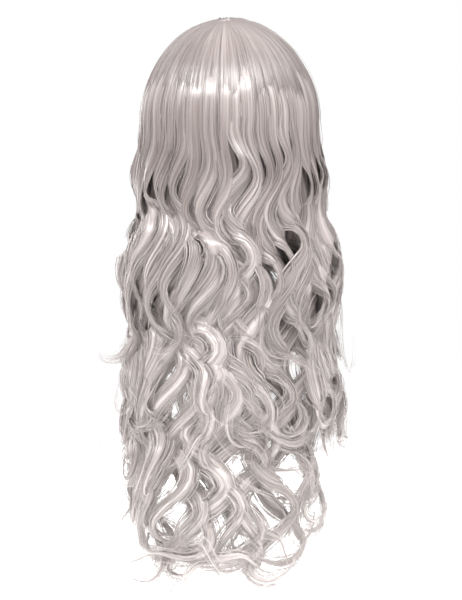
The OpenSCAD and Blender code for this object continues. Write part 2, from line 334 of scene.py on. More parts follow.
# fine is how strongly the fibre streaks show, for the solid silk under the loose strands
def hairMaterial(name, fine):
    material, tree, shader = newMaterial(name)
    stops = [(share, hairFinish[word]) for word, share in hairFinish["stops"].items()]
    along = rampNode(tree, attributeNode(tree, "along").outputs["Fac"], stops)
    # the tone darkens single hairs at random, and also carries painted shade: the crown's creases and the
    # ribbons' edges and inner sides are darker
    tone = rampNode(tree, attributeNode(tree, "tone").outputs["Fac"], [
        (0.0, hairFinish["darkStrandAndShade"]), (1.0, (1, 1, 1)),
    ])
    colour = multiply(tree, along, tone)
    if fine:
        fibre = attributeNode(tree, "fibre").outputs["Vector"]
        streak = noiseNode(tree, stretched(tree, fibre, (900, 8, 31)), 1.0, 4.0)
        shade = rampNode(tree, streak, [(0.34, (0.54, 0.52, 0.51)), (0.62, (1, 1, 1))])
        colour = multiply(tree, colour, shade, fine)
        cuticle = noiseNode(tree, stretched(tree, fibre, (1700, 10, 31)), 1.0, 2.0)
        addBump(tree, shader, cuticle, 0.7, 0.35 * mm)
        addRoughness(tree, shader, streak, 0.38, 0.26)
        shader.inputs["Anisotropic"].default_value = hairFinish["anisotropy"]
    else:
        shader.inputs["Roughness"].default_value = hairFinish["roughness"]
    tree.links.new(colour, shader.inputs["Base Color"])
    shader.inputs["IOR"].default_value = 1.6
    shader.inputs["Specular IOR Level"].default_value = hairFinish["specular"]
    shader.inputs["Sheen Weight"].default_value = hairFinish["sheen"]
    shader.inputs["Sheen Roughness"].default_value = 0.4
    return material


looseHair = hairMaterial("looseHair", 0)
silkHair = hairMaterial("silkHair", 0.8)


# a node group with the given named inputs; returns the tree with its input and output nodes
def newTree(name, inputs):
    tree = bpy.data.node_groups.new(name, "GeometryNodeTree")
    tree.interface.new_socket("Geometry", in_out="INPUT", socket_type="NodeSocketGeometry")
    for label, kind, value in inputs:
        socket = tree.interface.new_socket(label, in_out="INPUT", socket_type="NodeSocket" + kind)
        if value is not None:
            socket.default_value = value
    tree.interface.new_socket("Geometry", in_out="OUTPUT", socket_type="NodeSocketGeometry")
    return tree, tree.nodes.new("NodeGroupInput"), tree.nodes.new("NodeGroupOutput")


def feed(tree, socket, value):
    if isinstance(value, bpy.types.NodeSocket):
        tree.links.new(value, socket)
    else:
        socket.default_value = value


def calculate(tree, operation, first, second=None):
    node = tree.nodes.new("ShaderNodeMath")
    node.operation = operation
    feed(tree, node.inputs[0], first)
    if second is not None:
        feed(tree, node.inputs[1], second)
    return node.outputs[0]


def vectorScale(tree, vector, scale):
    node = tree.nodes.new("ShaderNodeVectorMath")
    node.operation = "SCALE"
    tree.links.new(vector, node.inputs[0])
    feed(tree, node.inputs["Scale"], scale)
    return node.outputs[0]


def vectorAdd(tree, first, second):
    node = tree.nodes.new("ShaderNodeVectorMath")
    feed(tree, node.inputs[0], first)
    feed(tree, node.inputs[1], second)
    return node.outputs[0]


def named(tree, name, kind="FLOAT"):
    node = tree.nodes.new("GeometryNodeInputNamedAttribute")
    node.data_type = kind
    node.inputs["Name"].default_value = name
    return node.outputs["Attribute"]


def store(tree, geometry, name, value):
    node = tree.nodes.new("GeometryNodeStoreNamedAttribute")
    node.domain = "CURVE"
    node.inputs["Name"].default_value = name
    tree.links.new(geometry, node.inputs["Geometry"])
    tree.links.new(value, node.inputs["Value"])
    return node.outputs["Geometry"]


def randomValue(tree, seed, draw, low, high):
    node = tree.nodes.new("FunctionNodeRandomValue")
    floats = [s for s in node.inputs if s.type == "VALUE" and s.name in ("Min", "Max")]
    feed(tree, floats[0], low)
    feed(tree, floats[1], high)
    feed(tree, node.inputs["Seed"], calculate(tree, "ADD", seed, draw))
    return next(s for s in node.outputs if s.type == "VALUE")


# realizes and paints what a tree has made, and hands it out
def finishTree(tree, group, out, geometry):
    realize = tree.nodes.new("GeometryNodeRealizeInstances")
    tree.links.new(geometry, realize.inputs["Geometry"])
    smoothed = tree.nodes.new("GeometryNodeSetShadeSmooth")
    tree.links.new(realize.outputs["Geometry"], smoothed.inputs["Geometry"])
    paint = tree.nodes.new("GeometryNodeSetMaterial")
    tree.links.new(smoothed.outputs["Geometry"], paint.inputs["Geometry"])
    tree.links.new(group.outputs["material"], paint.inputs["Material"])
    tree.links.new(paint.outputs["Geometry"], out.inputs["Geometry"])
    return tree


def setFreeNormal(tree, curve):
    node = tree.nodes.new("GeometryNodeSetCurveNormal")
    node.mode = "FREE"
    tree.links.new(curve, node.inputs["Curve"])
    tree.links.new(named(tree, "lift", "FLOAT_VECTOR"), node.inputs["Normal"])
    return node.outputs["Curve"]


# a lock's guide becomes many closed hairs that lie round it
def strandTree():
    tree, group, out = newTree("strandsFromGuides", [
        ("strands per lock", "Int", 40), ("strand radius", "Float", 0.0004), ("flatness", "Float", 0.6),
        ("inner reach", "Float", 0.7), ("stray", "Float", 0.003), ("shortest", "Float", 0.8),
        ("root spread", "Float", 0.2), ("root dip", "Float", 0.003), ("seed", "Int", 1),
        ("material", "Material", None),
    ])
    links, nodes = tree.links, tree.nodes
    seed = group.outputs["seed"]
    toCurve = nodes.new("GeometryNodeMeshToCurve")
    links.new(group.outputs["Geometry"], toCurve.inputs["Mesh"])
    copies = nodes.new("GeometryNodeDuplicateElements")
    copies.domain = "SPLINE"
    links.new(toCurve.outputs["Curve"], copies.inputs["Geometry"])
    links.new(group.outputs["strands per lock"], copies.inputs["Amount"])
    flow = copies.outputs["Geometry"]
    flow = store(tree, flow, "strandAngle", randomValue(tree, seed, 1, 0.0, 2 * math.pi))
    flow = store(tree, flow, "strandReach", randomValue(tree, seed, 2, group.outputs["inner reach"], 1.12))
    flow = store(tree, flow, "strandId", randomValue(tree, seed, 3, 0.0, 1.0))
    flow = store(tree, flow, "tone", randomValue(tree, seed, 4, 0.1, 1.0))
    trim = nodes.new("GeometryNodeTrimCurve")
    trim.mode = "FACTOR"
    links.new(flow, trim.inputs["Curve"])
    ends = [s for s in trim.inputs if s.name in ("Start", "End") and s.type == "VALUE"]
    links.new(randomValue(tree, seed, 5, 0.0, group.outputs["root spread"]), ends[0])
    links.new(randomValue(tree, seed, 6, group.outputs["shortest"], 1.0), ends[1])
    # each hair keeps its own place in the lock, and strays a little more towards the tip
    reach = named(tree, "strandReach")
    angle = named(tree, "strandAngle")
    u = calculate(tree, "MULTIPLY", reach, calculate(tree, "COSINE", angle))
    v = calculate(tree, "MULTIPLY", reach, calculate(tree, "SINE", angle))
    aside = calculate(tree, "MULTIPLY", u, named(tree, "halfWidth"))
    sideShift = vectorScale(tree, named(tree, "side", "FLOAT_VECTOR"), aside)
    bow = calculate(tree, "SUBTRACT", 1.0, calculate(tree, "MULTIPLY", u, u))
    arch = calculate(tree, "MULTIPLY", named(tree, "crown"), bow)
    rise = calculate(tree, "ADD", arch, calculate(tree, "MULTIPLY", v, named(tree, "halfThick")))
    parameter = nodes.new("GeometryNodeSplineParameter")
    fade = calculate(tree, "EXPONENT", calculate(tree, "MULTIPLY", parameter.outputs["Length"], -160.0))
    dip = calculate(tree, "MULTIPLY", group.outputs["root dip"], fade)
    liftShift = vectorScale(tree, named(tree, "lift", "FLOAT_VECTOR"), calculate(tree, "SUBTRACT", rise, dip))
    place = nodes.new("ShaderNodeCombineXYZ")
    links.new(calculate(tree, "MULTIPLY", parameter.outputs["Length"], 15.0), place.inputs[0])
    links.new(calculate(tree, "MULTIPLY", named(tree, "strandId"), 531.0), place.inputs[1])
    noise = nodes.new("ShaderNodeTexNoise")
    noise.inputs["Scale"].default_value = 1.0
    noise.inputs["Detail"].default_value = 1.0
    links.new(place.outputs[0], noise.inputs["Vector"])
    centred = vectorAdd(tree, noise.outputs["Color"], (-0.5, -0.5, -0.5))
    late = calculate(tree, "POWER", named(tree, "along"), 1.6)
    grow = calculate(tree, "ADD", 0.12, calculate(tree, "MULTIPLY", late, 2.6))
    wander = vectorScale(tree, centred, calculate(tree, "MULTIPLY", group.outputs["stray"], grow))
    moved = nodes.new("GeometryNodeSetPosition")
    links.new(trim.outputs["Curve"], moved.inputs["Geometry"])
    links.new(vectorAdd(tree, vectorAdd(tree, sideShift, liftShift), wander), moved.inputs["Offset"])
    flow = setFreeNormal(tree, moved.outputs["Geometry"])
    taper = nodes.new("ShaderNodeMapRange")
    taper.interpolation_type = "SMOOTHSTEP"
    for label, value in (("From Min", 1.0), ("From Max", 0.75), ("To Min", 0.35), ("To Max", 1.0)):
        taper.inputs[label].default_value = value
    links.new(parameter.outputs["Factor"], taper.inputs["Value"])
    thickness = calculate(tree, "ADD", 0.7, calculate(tree, "MULTIPLY", named(tree, "strandId"), 0.6))
    radius = nodes.new("GeometryNodeSetCurveRadius")
    links.new(flow, radius.inputs["Curve"])
    links.new(calculate(tree, "MULTIPLY", taper.outputs["Result"], thickness), radius.inputs["Radius"])
    profile = nodes.new("GeometryNodeCurvePrimitiveCircle")
    profile.inputs["Resolution"].default_value = 3
    links.new(group.outputs["strand radius"], profile.inputs["Radius"])
    flat = nodes.new("GeometryNodeTransform")
    links.new(profile.outputs["Curve"], flat.inputs["Geometry"])
    scaleBy = nodes.new("ShaderNodeCombineXYZ")
    links.new(group.outputs["flatness"], scaleBy.inputs[0])
    scaleBy.inputs[1].default_value = 1.0
    scaleBy.inputs[2].default_value = 1.0
    links.new(scaleBy.outputs[0], flat.inputs["Scale"])
    sweep = nodes.new("GeometryNodeCurveToMesh")
    links.new(radius.outputs["Curve"], sweep.inputs["Curve"])
    links.new(flat.outputs["Geometry"], sweep.inputs["Profile Curve"])
    sweep.inputs["Fill Caps"].default_value = True
    readRadius = nodes.new("GeometryNodeInputRadius")
    links.new(readRadius.outputs["Radius"], sweep.inputs["Scale"])
    return finishTree(tree, group, out, sweep.outputs["Mesh"])


strands = strandTree()

shell = {
    "columns": 460, "rows": 46, "outerDepth": 10.6 * mm, "innerDepth": 5.3 * mm, "poleDip": 0.9 * mm,
    "firstLat": 1.2, "backEnd": 124, "frontEnd": 60, "frontFrom": 112, "frontTo": 136, "raggedEdge": 5,
    "creases": 15, "creaseDepth": 0.9 * mm, "creaseWidth": 1.0, "groove": 0.13 * mm,
    "tuck": 3.2 * mm, "tuckOver": 17,  # the lower edge goes in under the locks
    "seed": 5,
}


# the smooth hair that lies over the cap, down to where it starts to fall in locks
def crownShell():
    draw = np.random.default_rng(shell["seed"])
    columns, rows = shell["columns"], shell["rows"]
    azimuth = np.linspace(0, 360, columns, endpoint=False)
    front = smooth((folded(azimuth) - shell["frontFrom"]) / (shell["frontTo"] - shell["frontFrom"]))
    end = shell["backEnd"] + (shell["frontEnd"] - shell["backEnd"]) * front
    streak = draw.normal(0, 1, columns)
    # single hairs end at their own height
    end = end - shell["raggedEdge"] * np.abs(streak + 0.7 * np.roll(streak, 1))
    streak = (streak + 0.5 * np.roll(streak, 1)) / 1.1
    share = np.linspace(0, 1, rows)[None, :]
    latitude = shell["firstLat"] + (end[:, None] - shell["firstLat"]) * share
    azimuth = azimuth[:, None] + 0 * latitude
    grow = smooth(latitude / 45)
    drift = np.sin(latitude / 17 + draw.uniform(0, 6.28, columns)[:, None])
    relief = shell["groove"] * streak[:, None] * (0.75 + 0.25 * drift)
    crease = np.zeros_like(latitude)
    evenly = np.linspace(0, 360, shell["creases"], endpoint=False)
    for middle in evenly + draw.uniform(-7, 7, shell["creases"]):
        line = middle + draw.uniform(-5, 5) * smooth(latitude / 100) + 0.8 * np.sin(latitude / 14 + middle)
        off = ((azimuth - line + 180) % 360 - 180) / shell["creaseWidth"]
        begins = draw.uniform(10, 60)
        crease += draw.uniform(0.2, 1) * np.exp(-off * off) * smooth((latitude - begins) / 30)
    dip = shell["poleDip"] * np.exp(-((latitude / 7) ** 2))
    tuck = shell["tuck"] * smooth((latitude - end[:, None] + shell["tuckOver"]) / shell["tuckOver"])
    depth = shell["outerDepth"] + grow * relief - shell["creaseDepth"] * crease - dip - tuck
    outer = hairSurface(azimuth, latitude, depth)
    inner = hairSurface(azimuth, latitude, shell["innerDepth"] + 0.6 * grow * relief - 0.3 * dip)
    poleDepths = (shell["outerDepth"] - shell["poleDip"], shell["innerDepth"] - 0.6 * mm)
    poles = [hairSurface(0, 0, poleDepth) for poleDepth in poleDepths]
    piece = slabMesh("crownHair", outer, inner, True, poles)
    # the tone is lower along the creases: painted shade in them, over random streaks and drift
    tone = np.clip(0.66 + 0.13 * streak[:, None] + 0.1 * drift - 0.45 * crease, 0, 1)
    length = latitude * 1.65 * mm
    around = np.radians(azimuth) * 0.09
    fibre = np.stack([around, length, 0 * length], axis=-1)
    for name, values in (("tone", tone), ("along", 0.25 * latitude / 110)):
        storeFloats(piece.data, name, np.concatenate([values.ravel(), 0.8 * values.ravel(), [0.5, 0.5]]))
    storeVectors(piece.data, "fibre", np.concatenate([fibre.reshape(-1, 3)] * 2 + [np.zeros((2, 3))]))
    piece.data.materials.append(silkHair)
    return piece


# how far past the frame's box a lock may reach; free and eased are shares of that half-width
room = {"spare": 7 * mm, "free": 0.86, "eased": 0.14}


# points that would leave the space of the object are eased back into it
def keptInside(path):
    for axis in (0, 1):
        low, high = cadBox[0][axis], cadBox[1][axis]
        middle, half = (low + high) / 2, (high - low) / 2 + room["spare"]
        share = (path[:, axis] - middle) / half
        over = np.maximum(0, np.abs(share) - room["free"])
        near = np.minimum(np.abs(share), room["free"])
        far = room["eased"] * np.tanh(over / room["eased"])
        path[:, axis] = middle + half * np.sign(share) * (near + far)
    return path


# the drop below the widest level over which each change of a falling lock comes in
fall = {
    "ringStep": 3 * mm, "waveOver": 0.09, "gatherOver": 0.33, "flareOver": 0.19, "swingOver": 0.42,
    "looseFrom": 0.01, "looseOver": 0.10, "fullOver": 0.22,
}


# one lock's centre line and cross-section, from its root on the head to its curled tip
def guide(lock):
    latitude = np.linspace(lock["lat"], 90, max(3, int((90 - lock["lat"]) / 2) + 2))[:-1]
    top = -head["height"]
    height = np.arange(top, lock["end"], -fall["ringStep"])
    onHead = len(latitude)
    drop = np.concatenate([np.zeros(onHead), top - height])
    ramp = smooth((drop - lock["waveStart"]) / fall["waveOver"])
    gathered = 1 - lock["gather"] * smooth(drop / fall["gatherOver"])
    azimuth = lock["mid"] + (lock["az"] - lock["mid"]) * gathered
    climb = (latitude - lock["lat"]) / (90 - lock["lat"]) / max(lock["climb"], 0.01)
    rising = smooth(climb) if lock["climb"] else 0 * climb + lock["showsOnHead"]
    onTop = np.concatenate([rising, 0 * height])
    onTop[onHead:] = onTop[onHead - 1] if lock["climb"] else 0
    risen = smooth(drop / lock["riseOver"] + onTop)
    flared = lock["flare"] * smooth(drop / fall["flareOver"])
    depth = lock["rootDepth"] + (lock["depth"] - lock["rootDepth"]) * risen + flared
    across, along = ring(azimuth, depth)
    path = np.stack([across, along, np.concatenate([np.zeros(onHead), height])], axis=-1)
    path[:onHead] = skull(azimuth[:onHead], latitude, depth[:onHead])
    outward = outwardAt(azimuth)
    sideways = np.stack([outward[:, 1], -outward[:, 0], np.zeros(len(outward))], axis=-1)
    swing = lock["amp"] * ramp * (1 + lock["ampGrow"] * smooth(drop / fall["swingOver"]))
    turn = 2 * math.pi * drop / lock["pitch"] + lock["phase"]
    swell = lock["swell"] * ramp * np.cos(2 * math.pi * drop / lock["pitch"] + lock["swellPhase"])
    path += sideways * (swing * np.sin(turn))[:, None] + outward * swell[:, None]
    # the last stretch curls round
    steps = np.diff(path, axis=0)
    run = np.concatenate([[0], np.cumsum(np.linalg.norm(steps, axis=1))])
    total = run[-1]
    tilt = lock["curlTilt"]
    axis = unit(outward * math.cos(tilt) + sideways * math.sin(tilt))
    share = np.maximum(0, (run[1:] - total + lock["curlLength"]) / lock["curlLength"])
    angle = (lock["curl"] * share**1.5)[:, None]
    k = axis[1:]
    steps = (
        steps * np.cos(angle)
        + np.cross(k, steps) * np.sin(angle)
        + k * np.sum(k * steps, axis=1, keepdims=True) * (1 - np.cos(angle))
    )
    path = np.concatenate([path[:1], path[0] + np.cumsum(steps, axis=0)])
    # drawn out or in so that the lowest of the lock is where it should end
    hangs = np.minimum(path[:, 2] - top, 0)
    path[:, 2] += hangs * ((lock["end"] - top) / (path[:, 2].min() - top) - 1)
    path = keptInside(path)
    # the flat side faces out on the head and turns with the wave below
    tangent = unit(np.gradient(path, axis=0))
    facing = outward.copy()
    facing[:onHead] = normalAt(azimuth[:onHead], latitude)
    fromAxis = sideways * np.sin(turn)[:, None] + outward * np.cos(turn)[:, None]
    lift = facing + fromAxis * (lock["twist"] * ramp)[:, None]
    lift = unit(lift - tangent * np.sum(lift * tangent, axis=1, keepdims=True))
    side = np.cross(tangent, lift)
    share = run / total
    grow = np.concatenate([np.sin(np.radians(latitude)), np.ones(len(height))])
    loose = smooth((drop - fall["looseFrom"]) / fall["looseOver"])
    tip = 1 - lock["tipTaper"] * smooth((share - 0.6) / 0.4)
    width = (lock["laneHalf"] * grow * (1 - loose) + lock["ropeHalf"] * loose) * tip
    width *= 1 + lock["fullTop"] * (1 - smooth(drop / fall["fullOver"]))
    thick = (lock["layThick"] * (1 - loose) + lock["ropeThick"] * loose) * tip
    crown = (0.04 * (1 - loose) + lock["arch"] * loose) * width
    # rings are closer together where it curls
    places = np.concatenate([
        np.arange(0, total - lock["curlLength"], lock["step"]),
        np.linspace(total - lock["curlLength"], total, max(4, int(lock["curlLength"] / lock["curlStep"]))),
    ])

    def at(values):
        if values.ndim == 1:
            return np.interp(places, run, values)
        return np.stack([np.interp(places, run, values[:, i]) for i in range(3)], axis=-1)

    return {
        "path": at(path), "side": unit(at(side)), "lift": unit(at(lift)), "halfWidth": at(width),
        "halfThick": at(thick), "crown": at(crown), "along": at(share * lock["toneEnd"]), "run": places,
    }


def looseStrands(name, guides, look):
    points, edges = [], []
    for line in guides:
        first = len(points)
        points.extend(line["path"])
        edges.extend((first + i, first + i + 1) for i in range(len(line["path"]) - 1))
    piece = addMesh(name, points, edges, [])
    for key in ("side", "lift"):
        storeVectors(piece.data, key, np.concatenate([line[key] for line in guides]))
    for key in ("halfWidth", "halfThick", "crown", "along"):
        storeFloats(piece.data, key, np.concatenate([line[key] for line in guides]))
    return bakedPiece(piece, strands, dict(look, material=looseHair))


ribbon = {"columns": 34, "fill": 0.86, "end": 0.95, "groove": 0.16, "seed": 61}


# the solid silky body of each lock, a closed grooved ribbon
def solidRibbons(name, guides, draw):
    columns = ribbon["columns"]
    points, faces, tones, alongs, fibres = [], [], [], [], []
    theta = 2 * math.pi * np.arange(columns) / columns
    u, v = np.cos(theta), np.sin(theta)
    for index, line in enumerate(guides):
        keep = line["run"] <= ribbon["end"] * line["run"][-1]
        path, side, lift = (line[key][keep] for key in ("path", "side", "lift"))
        run = line["run"][keep]
        share = run / run[-1]
        closing = np.maximum(0.05, 1 - share**2.6) ** 0.8 * smooth(share / 0.05 + 0.1)
        width = (line["halfWidth"][keep] * closing * ribbon["fill"])[:, None]
        thick = (line["halfThick"][keep] * closing * ribbon["fill"])[:, None]
        streak = draw.normal(0, 1, columns)
        streak = (streak + np.roll(streak, 1)) / 1.4
        drift = np.sin(run[:, None] * 90 + draw.uniform(0, 6.28, columns)[None, :])
        groove = 1 + ribbon["groove"] * (streak[None, :] + 0.4 * drift)
        arch = line["crown"][keep][:, None] * (1 - u * u)
        grid = (
            path[:, None, :]
            + side[:, None, :] * (u * width)[..., None]
            + lift[:, None, :] * (v * thick * groove + arch)[..., None]
        )
        first = len(points)
        rings = len(path)
        points.extend(grid.reshape(-1, 3))
        lockFaces = [tuple(first + k for k in range(columns))]
        for i in range(rings - 1):
            a = first + i * columns
            lockFaces.extend(
                (a + (k + 1) % columns, a + k, a + columns + k, a + columns + (k + 1) % columns)
                for k in range(columns)
            )
        lockFaces.append(tuple(first + (rings - 1) * columns + k for k in reversed(range(columns))))
        faces.extend(lockFaces)
        # random streaks and drift, with painted shade: each ribbon is darker at its edges and on its side
        # towards the head, lighter on its outer side
        shade = 0.6 + 0.3 * streak[None, :] + 0.1 * drift + 0.12 * v[None, :] - 0.25 * np.abs(u[None, :]) ** 6
        tones.append(np.clip(shade + draw.uniform(-0.3, 0.22), 0, 1).ravel())
        alongs.append(np.repeat(line["along"][keep], columns))
        fibre = np.stack(np.broadcast_arrays(theta[None, :] * 4 * mm, run[:, None], 0.1 * index), axis=-1)
        fibres.append(fibre.reshape(-1, 3))
    piece = addMesh(name, points, [], facingOut(points, faces))
    storeFloats(piece.data, "tone", np.concatenate(tones))
    storeFloats(piece.data, "along", np.concatenate(alongs))
    storeVectors(piece.data, "fibre", np.concatenate(fibres))
    piece.data.materials.append(silkHair)
    return shadeSmooth(piece)


def makeLocks(plan, rng, turned=1):
    locks = []
    low, high = plan["reach"]
    lane = (high - low) / plan["count"]
    middle = (low + high) / 2
    for i in range(plan["count"]):
        az = low + (i + 0.5 + rng.uniform(-0.25, 0.25)) * lane
        lean = 1 if rng.random() < plan["curlLean"] else -1
        shifted = plan["phase"] + plan["drift"] * math.sin(az / 17)
        locks.append(dict(
            plan,
            az=turned * az,
            mid=turned * middle,
            lat=plan["lat"] + rng.uniform(0, plan["latSpread"]),
            depth=plan["depth"] + rng.uniform(-1, 1) * plan["depthSpread"],
            end=plan["end"] + rng.uniform(0, 1) * plan["endSpread"] + plan["endRise"] * (az / 90) ** 2,
            waveStart=plan["waveFrom"] + rng.uniform(-0.02, 0.008),
            riseOver=plan["riseOver"] * rng.uniform(0.7, 1.5),
            flare=plan["flare"] * rng.uniform(0.75, 1.15),
            amp=plan["amp"] * rng.uniform(0.75, 1.25),
            pitch=plan["pitch"] * rng.uniform(0.93, 1.06),
            phase=shifted + rng.uniform(-1, 1) * plan["phaseSpread"],
            swell=plan["swell"] * rng.uniform(0.7, 1.2),
            curl=lean * plan["curl"] * rng.uniform(0.6, 1.25),
            curlLength=plan["curlLength"] * rng.uniform(0.75, 1.25),
            curlTilt=rng.uniform(-1, 1) * plan["curlTilt"],
            laneHalf=math.radians(lane) * 0.5 * 0.1 * plan["overlap"],
            ropeHalf=plan["ropeHalf"] * rng.uniform(0.75, 1.2),
            ropeThick=plan["ropeThick"] * rng.uniform(0.8, 1.2),
        ))
    return locks


# each tier: where its locks grow, how they fall, wave and end, how thick they are, and their rings
backOuter = {
    "count": 16, "reach": (-68, 68), "lat": 20, "latSpread": 46, "climb": 1, "showsOnHead": 0,
    "riseOver": 0.05, "rootDepth": 8.8 * mm, "depth": 11.9 * mm, "depthSpread": 0.9 * mm,
    "overlap": 1.3, "fullTop": 0,
    "end": -0.35, "endSpread": 0.07, "endRise": 0, "gather": 0.0, "flare": 18 * mm,
    "waveFrom": 0, "amp": 11 * mm, "ampGrow": 0.3, "pitch": 0.100, "phase": 3.0, "phaseSpread": 0.55,
    "drift": 1.25, "swell": 6 * mm, "swellPhase": -2.5, "twist": 0.8, "arch": 0.17,
    "curl": 1.9, "curlLength": 0.085, "curlLean": 0.35, "curlTilt": 0.7, "tipTaper": 0.55,
    "layThick": 0.7 * mm, "ropeHalf": 12.5 * mm, "ropeThick": 2.8 * mm, "toneEnd": 0.6,
    "step": 8 * mm, "curlStep": 5.5 * mm,
}
backMiddle = dict(
    backOuter, count=13, reach=(-74, 74), lat=84, latSpread=4, climb=0, rootDepth=4 * mm, depth=6.5 * mm,
    fullTop=0.3, end=-0.470, endSpread=0.09, gather=0.03, flare=14 * mm,
    waveFrom=0.04, amp=13 * mm, ampGrow=0.45, phase=2.6, phaseSpread=0.6,
    curl=2.6, curlLength=0.10, tipTaper=0.4, ropeHalf=14 * mm, toneEnd=0.85,
)
backInner = dict(
    backOuter, count=22, reach=(-86, 86), lat=86, latSpread=3, climb=0, rootDepth=2.5 * mm, depth=3 * mm,
    fullTop=0.5, end=-0.572, endSpread=0.04, endRise=0.06, flare=12.5 * mm,
    waveFrom=0.05, amp=13 * mm, ampGrow=0.7, phase=2.3, phaseSpread=0.7,
    curl=3.2, curlLength=0.125, tipTaper=0.3, ropeHalf=14.5 * mm, ropeThick=3.4 * mm, toneEnd=1.0,
)
sideOuter = dict(
    backOuter, count=7, reach=(66, 136), flare=16 * mm, phase=2.6, end=-0.36, depth=10.8 * mm, amp=9 * mm,
)
sideInner = dict(
    backInner, count=6, reach=(69, 134), rootDepth=7 * mm, depth=8 * mm, end=-0.53, endSpread=0.09,
    flare=15 * mm, amp=11 * mm,
)
fringePlan = dict(
    backOuter, count=13, reach=(137, 223), lat=5, latSpread=8, showsOnHead=1, climb=0,
    rootDepth=8.5 * mm, depth=10.4 * mm, depthSpread=0.5 * mm, overlap=1.5,
    end=fringeFoot + 1 * mm, endSpread=0.008, flare=-1 * mm, amp=0.0, swell=0.0, twist=0.0,
    curl=0.35, curlLength=0.03, curlLean=0.5, tipTaper=0.5,
    layThick=1.1 * mm, ropeHalf=7 * mm, ropeThick=1.6 * mm, toneEnd=0.35, step=6 * mm, curlStep=4 * mm,
)
wisp = {"ropeHalf": 3.2 * mm, "ropeThick": 2.4 * mm, "curlLength": 0.13, "curl": 4.4, "amp": 15 * mm}

look = {
    "strands per lock": 46, "strand radius": 0.42 * mm, "flatness": 0.6, "inner reach": 0.5,
    "stray": 6.5 * mm, "shortest": 0.84, "root spread": 0.12, "root dip": 3 * mm, "seed": 11,
}
wispLook = {"strands per lock": 7, "strand radius": 0.3 * mm, "inner reach": 0.0}
rng = random.Random(29)
draw = np.random.default_rng(ribbon["seed"])


# grows one tier of locks, each a solid ribbon with loose strands round it
def growTier(name, plan, seed, body, start, end, turned=1, parts=1, wisps=0, **changes):
    lines = [guide(lock) for lock in makeLocks(plan, rng, turned)]
    pieces = [solidRibbons(name + "Locks", lines, draw)]
    share = math.ceil(len(lines) / parts)
    for part in range(parts):
        label = name + "Strands" + ("" if parts == 1 else str(part + 1))
        settings = dict(look, seed=seed + part, **changes)
        pieces.append(looseStrands(label, lines[part * share:(part + 1) * share], settings))
    if wisps:
        thin = makeLocks(dict(plan, count=wisps, **wisp), rng, turned)
        settings = dict(look, seed=seed + 7, **wispLook)
        pieces.append(looseStrands(name + "Wisps", [guide(lock) for lock in thin], settings))
    for piece in pieces:
        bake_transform(piece)
    print(name, [countTriangles(piece) for piece in pieces], "triangles")
    return pieces


crownHair = crownShell()
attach(crownHair, "cap")
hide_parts("crown_hair", "back_upper_hair", "left_upper_hair", "right_upper_hair")
print("crown hair", countTriangles(crownHair), "triangles")

# fine loose strands that lie over the shell, from the whorl to the widest level
domePlan = dict(
    backOuter, count=44, reach=(-136, 136), lat=3, latSpread=12, showsOnHead=1, climb=0,
    rootDepth=9 * mm, depth=10.7 * mm, depthSpread=0.2 * mm, overlap=1.3,
    end=-0.126, endSpread=0.0, flare=2 * mm, amp=0.0, swell=0.0, twist=0.0, curl=0.0, curlLength=0.02,
    tipTaper=0.0, layThick=0.5 * mm, ropeThick=0.5 * mm, toneEnd=0.25,
)
domeLook = {
    "strands per lock": 12, "strand radius": 0.3 * mm, "stray": 2.5 * mm, "root spread": 0.5, "shortest": 0.6,
    "seed": 41,
}
domeLines = [guide(lock) for lock in makeLocks(domePlan, rng)]
domeStrands = looseStrands("crownStrands", domeLines, dict(look, **domeLook))
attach(domeStrands, "cap")
print("crown strands", countTriangles(domeStrands), "triangles")

backBend = {"start": (0, 0.1, -0.12), "end": (0, 0.1, -0.21)}
outerTier = growTier("backOuter", backOuter, 11, "back_fall", **backBend, parts=2)
middleTier = growTier("backMiddle", backMiddle, 13, "back_fall", **backBend, parts=2, wisps=8)
innerTier = growTier("backInner", backInner, 15, "back_fall", **backBend, parts=2, wisps=9)
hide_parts("back_outer_locks", "back_bend_hair")
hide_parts("back_middle_locks")
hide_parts("back_inner_locks")
for word, turned, seed, flare, amp in (("left", 1, 21, 8 * mm, 5 * mm), ("right", -1, 25, 18 * mm, 10 * mm)):
    sideBend = {"start": (0, 0, -0.12), "end": (0, 0, -0.21), "turned": turned}
    plan = dict(sideOuter, flare=flare, amp=amp)
    outerSide = growTier(word + "Outer", plan, seed, word + "_fall", **sideBend, wisps=3)
    innerSide = growTier(word + "Inner", sideInner, seed + 2, word + "_fall", **sideBend, wisps=4)
    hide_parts(word + "_outer_locks", word + "_bend_hair")
    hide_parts(word + "_inner_locks")
fringeTier = growTier(
    "fringe", fringePlan, 31, "fringe", start=(0, -0.085, -0.035), end=(0, -0.105, -0.075),
    **{"stray": 1.2 * mm, "strand radius": 0.34 * mm},
)
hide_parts("fringe_hair")
print("hair grown")


# a woven band: over and under threads along and across it
def weaveMaterial(name, light, dark, pitch, roughness, sheen=0.3):
    material, tree, shader = newMaterial(name)
    fibre = attributeNode(tree, "fibre").outputs["Vector"]
    waves = []
    for direction in ("X", "Y"):
        wave = tree.nodes.new("ShaderNodeTexWave")
        wave.bands_direction = direction
        wave.inputs["Scale"].default_value = math.pi / 10 / pitch  # one wave of the texture to a pitch
        wave.inputs["Distortion"].default_value = 0.6
        wave.inputs["Detail Scale"].default_value = 2.0
        tree.links.new(fibre, wave.inputs["Vector"])
        waves.append(wave.outputs["Fac"])
    height = calculate(tree, "MULTIPLY", waves[0], waves[1])
    blotch = noiseNode(tree, fibre, 130.0, 3.0)
    # the low places of the weave are given the dark colour: painted shade in its hollows
    colour = rampNode(tree, height, [(0.0, dark), (0.7, light)])
    worn = rampNode(tree, blotch, [(0.3, (0.86, 0.85, 0.84)), (0.65, (1, 1, 1))])
    tree.links.new(multiply(tree, colour, worn), shader.inputs["Base Color"])
    addRoughness(tree, shader, blotch, roughness + 0.08, roughness - 0.08)
    addBump(tree, shader, height, 0.6, 0.3 * mm)
    shader.inputs["Sheen Weight"].default_value = sheen
    return material


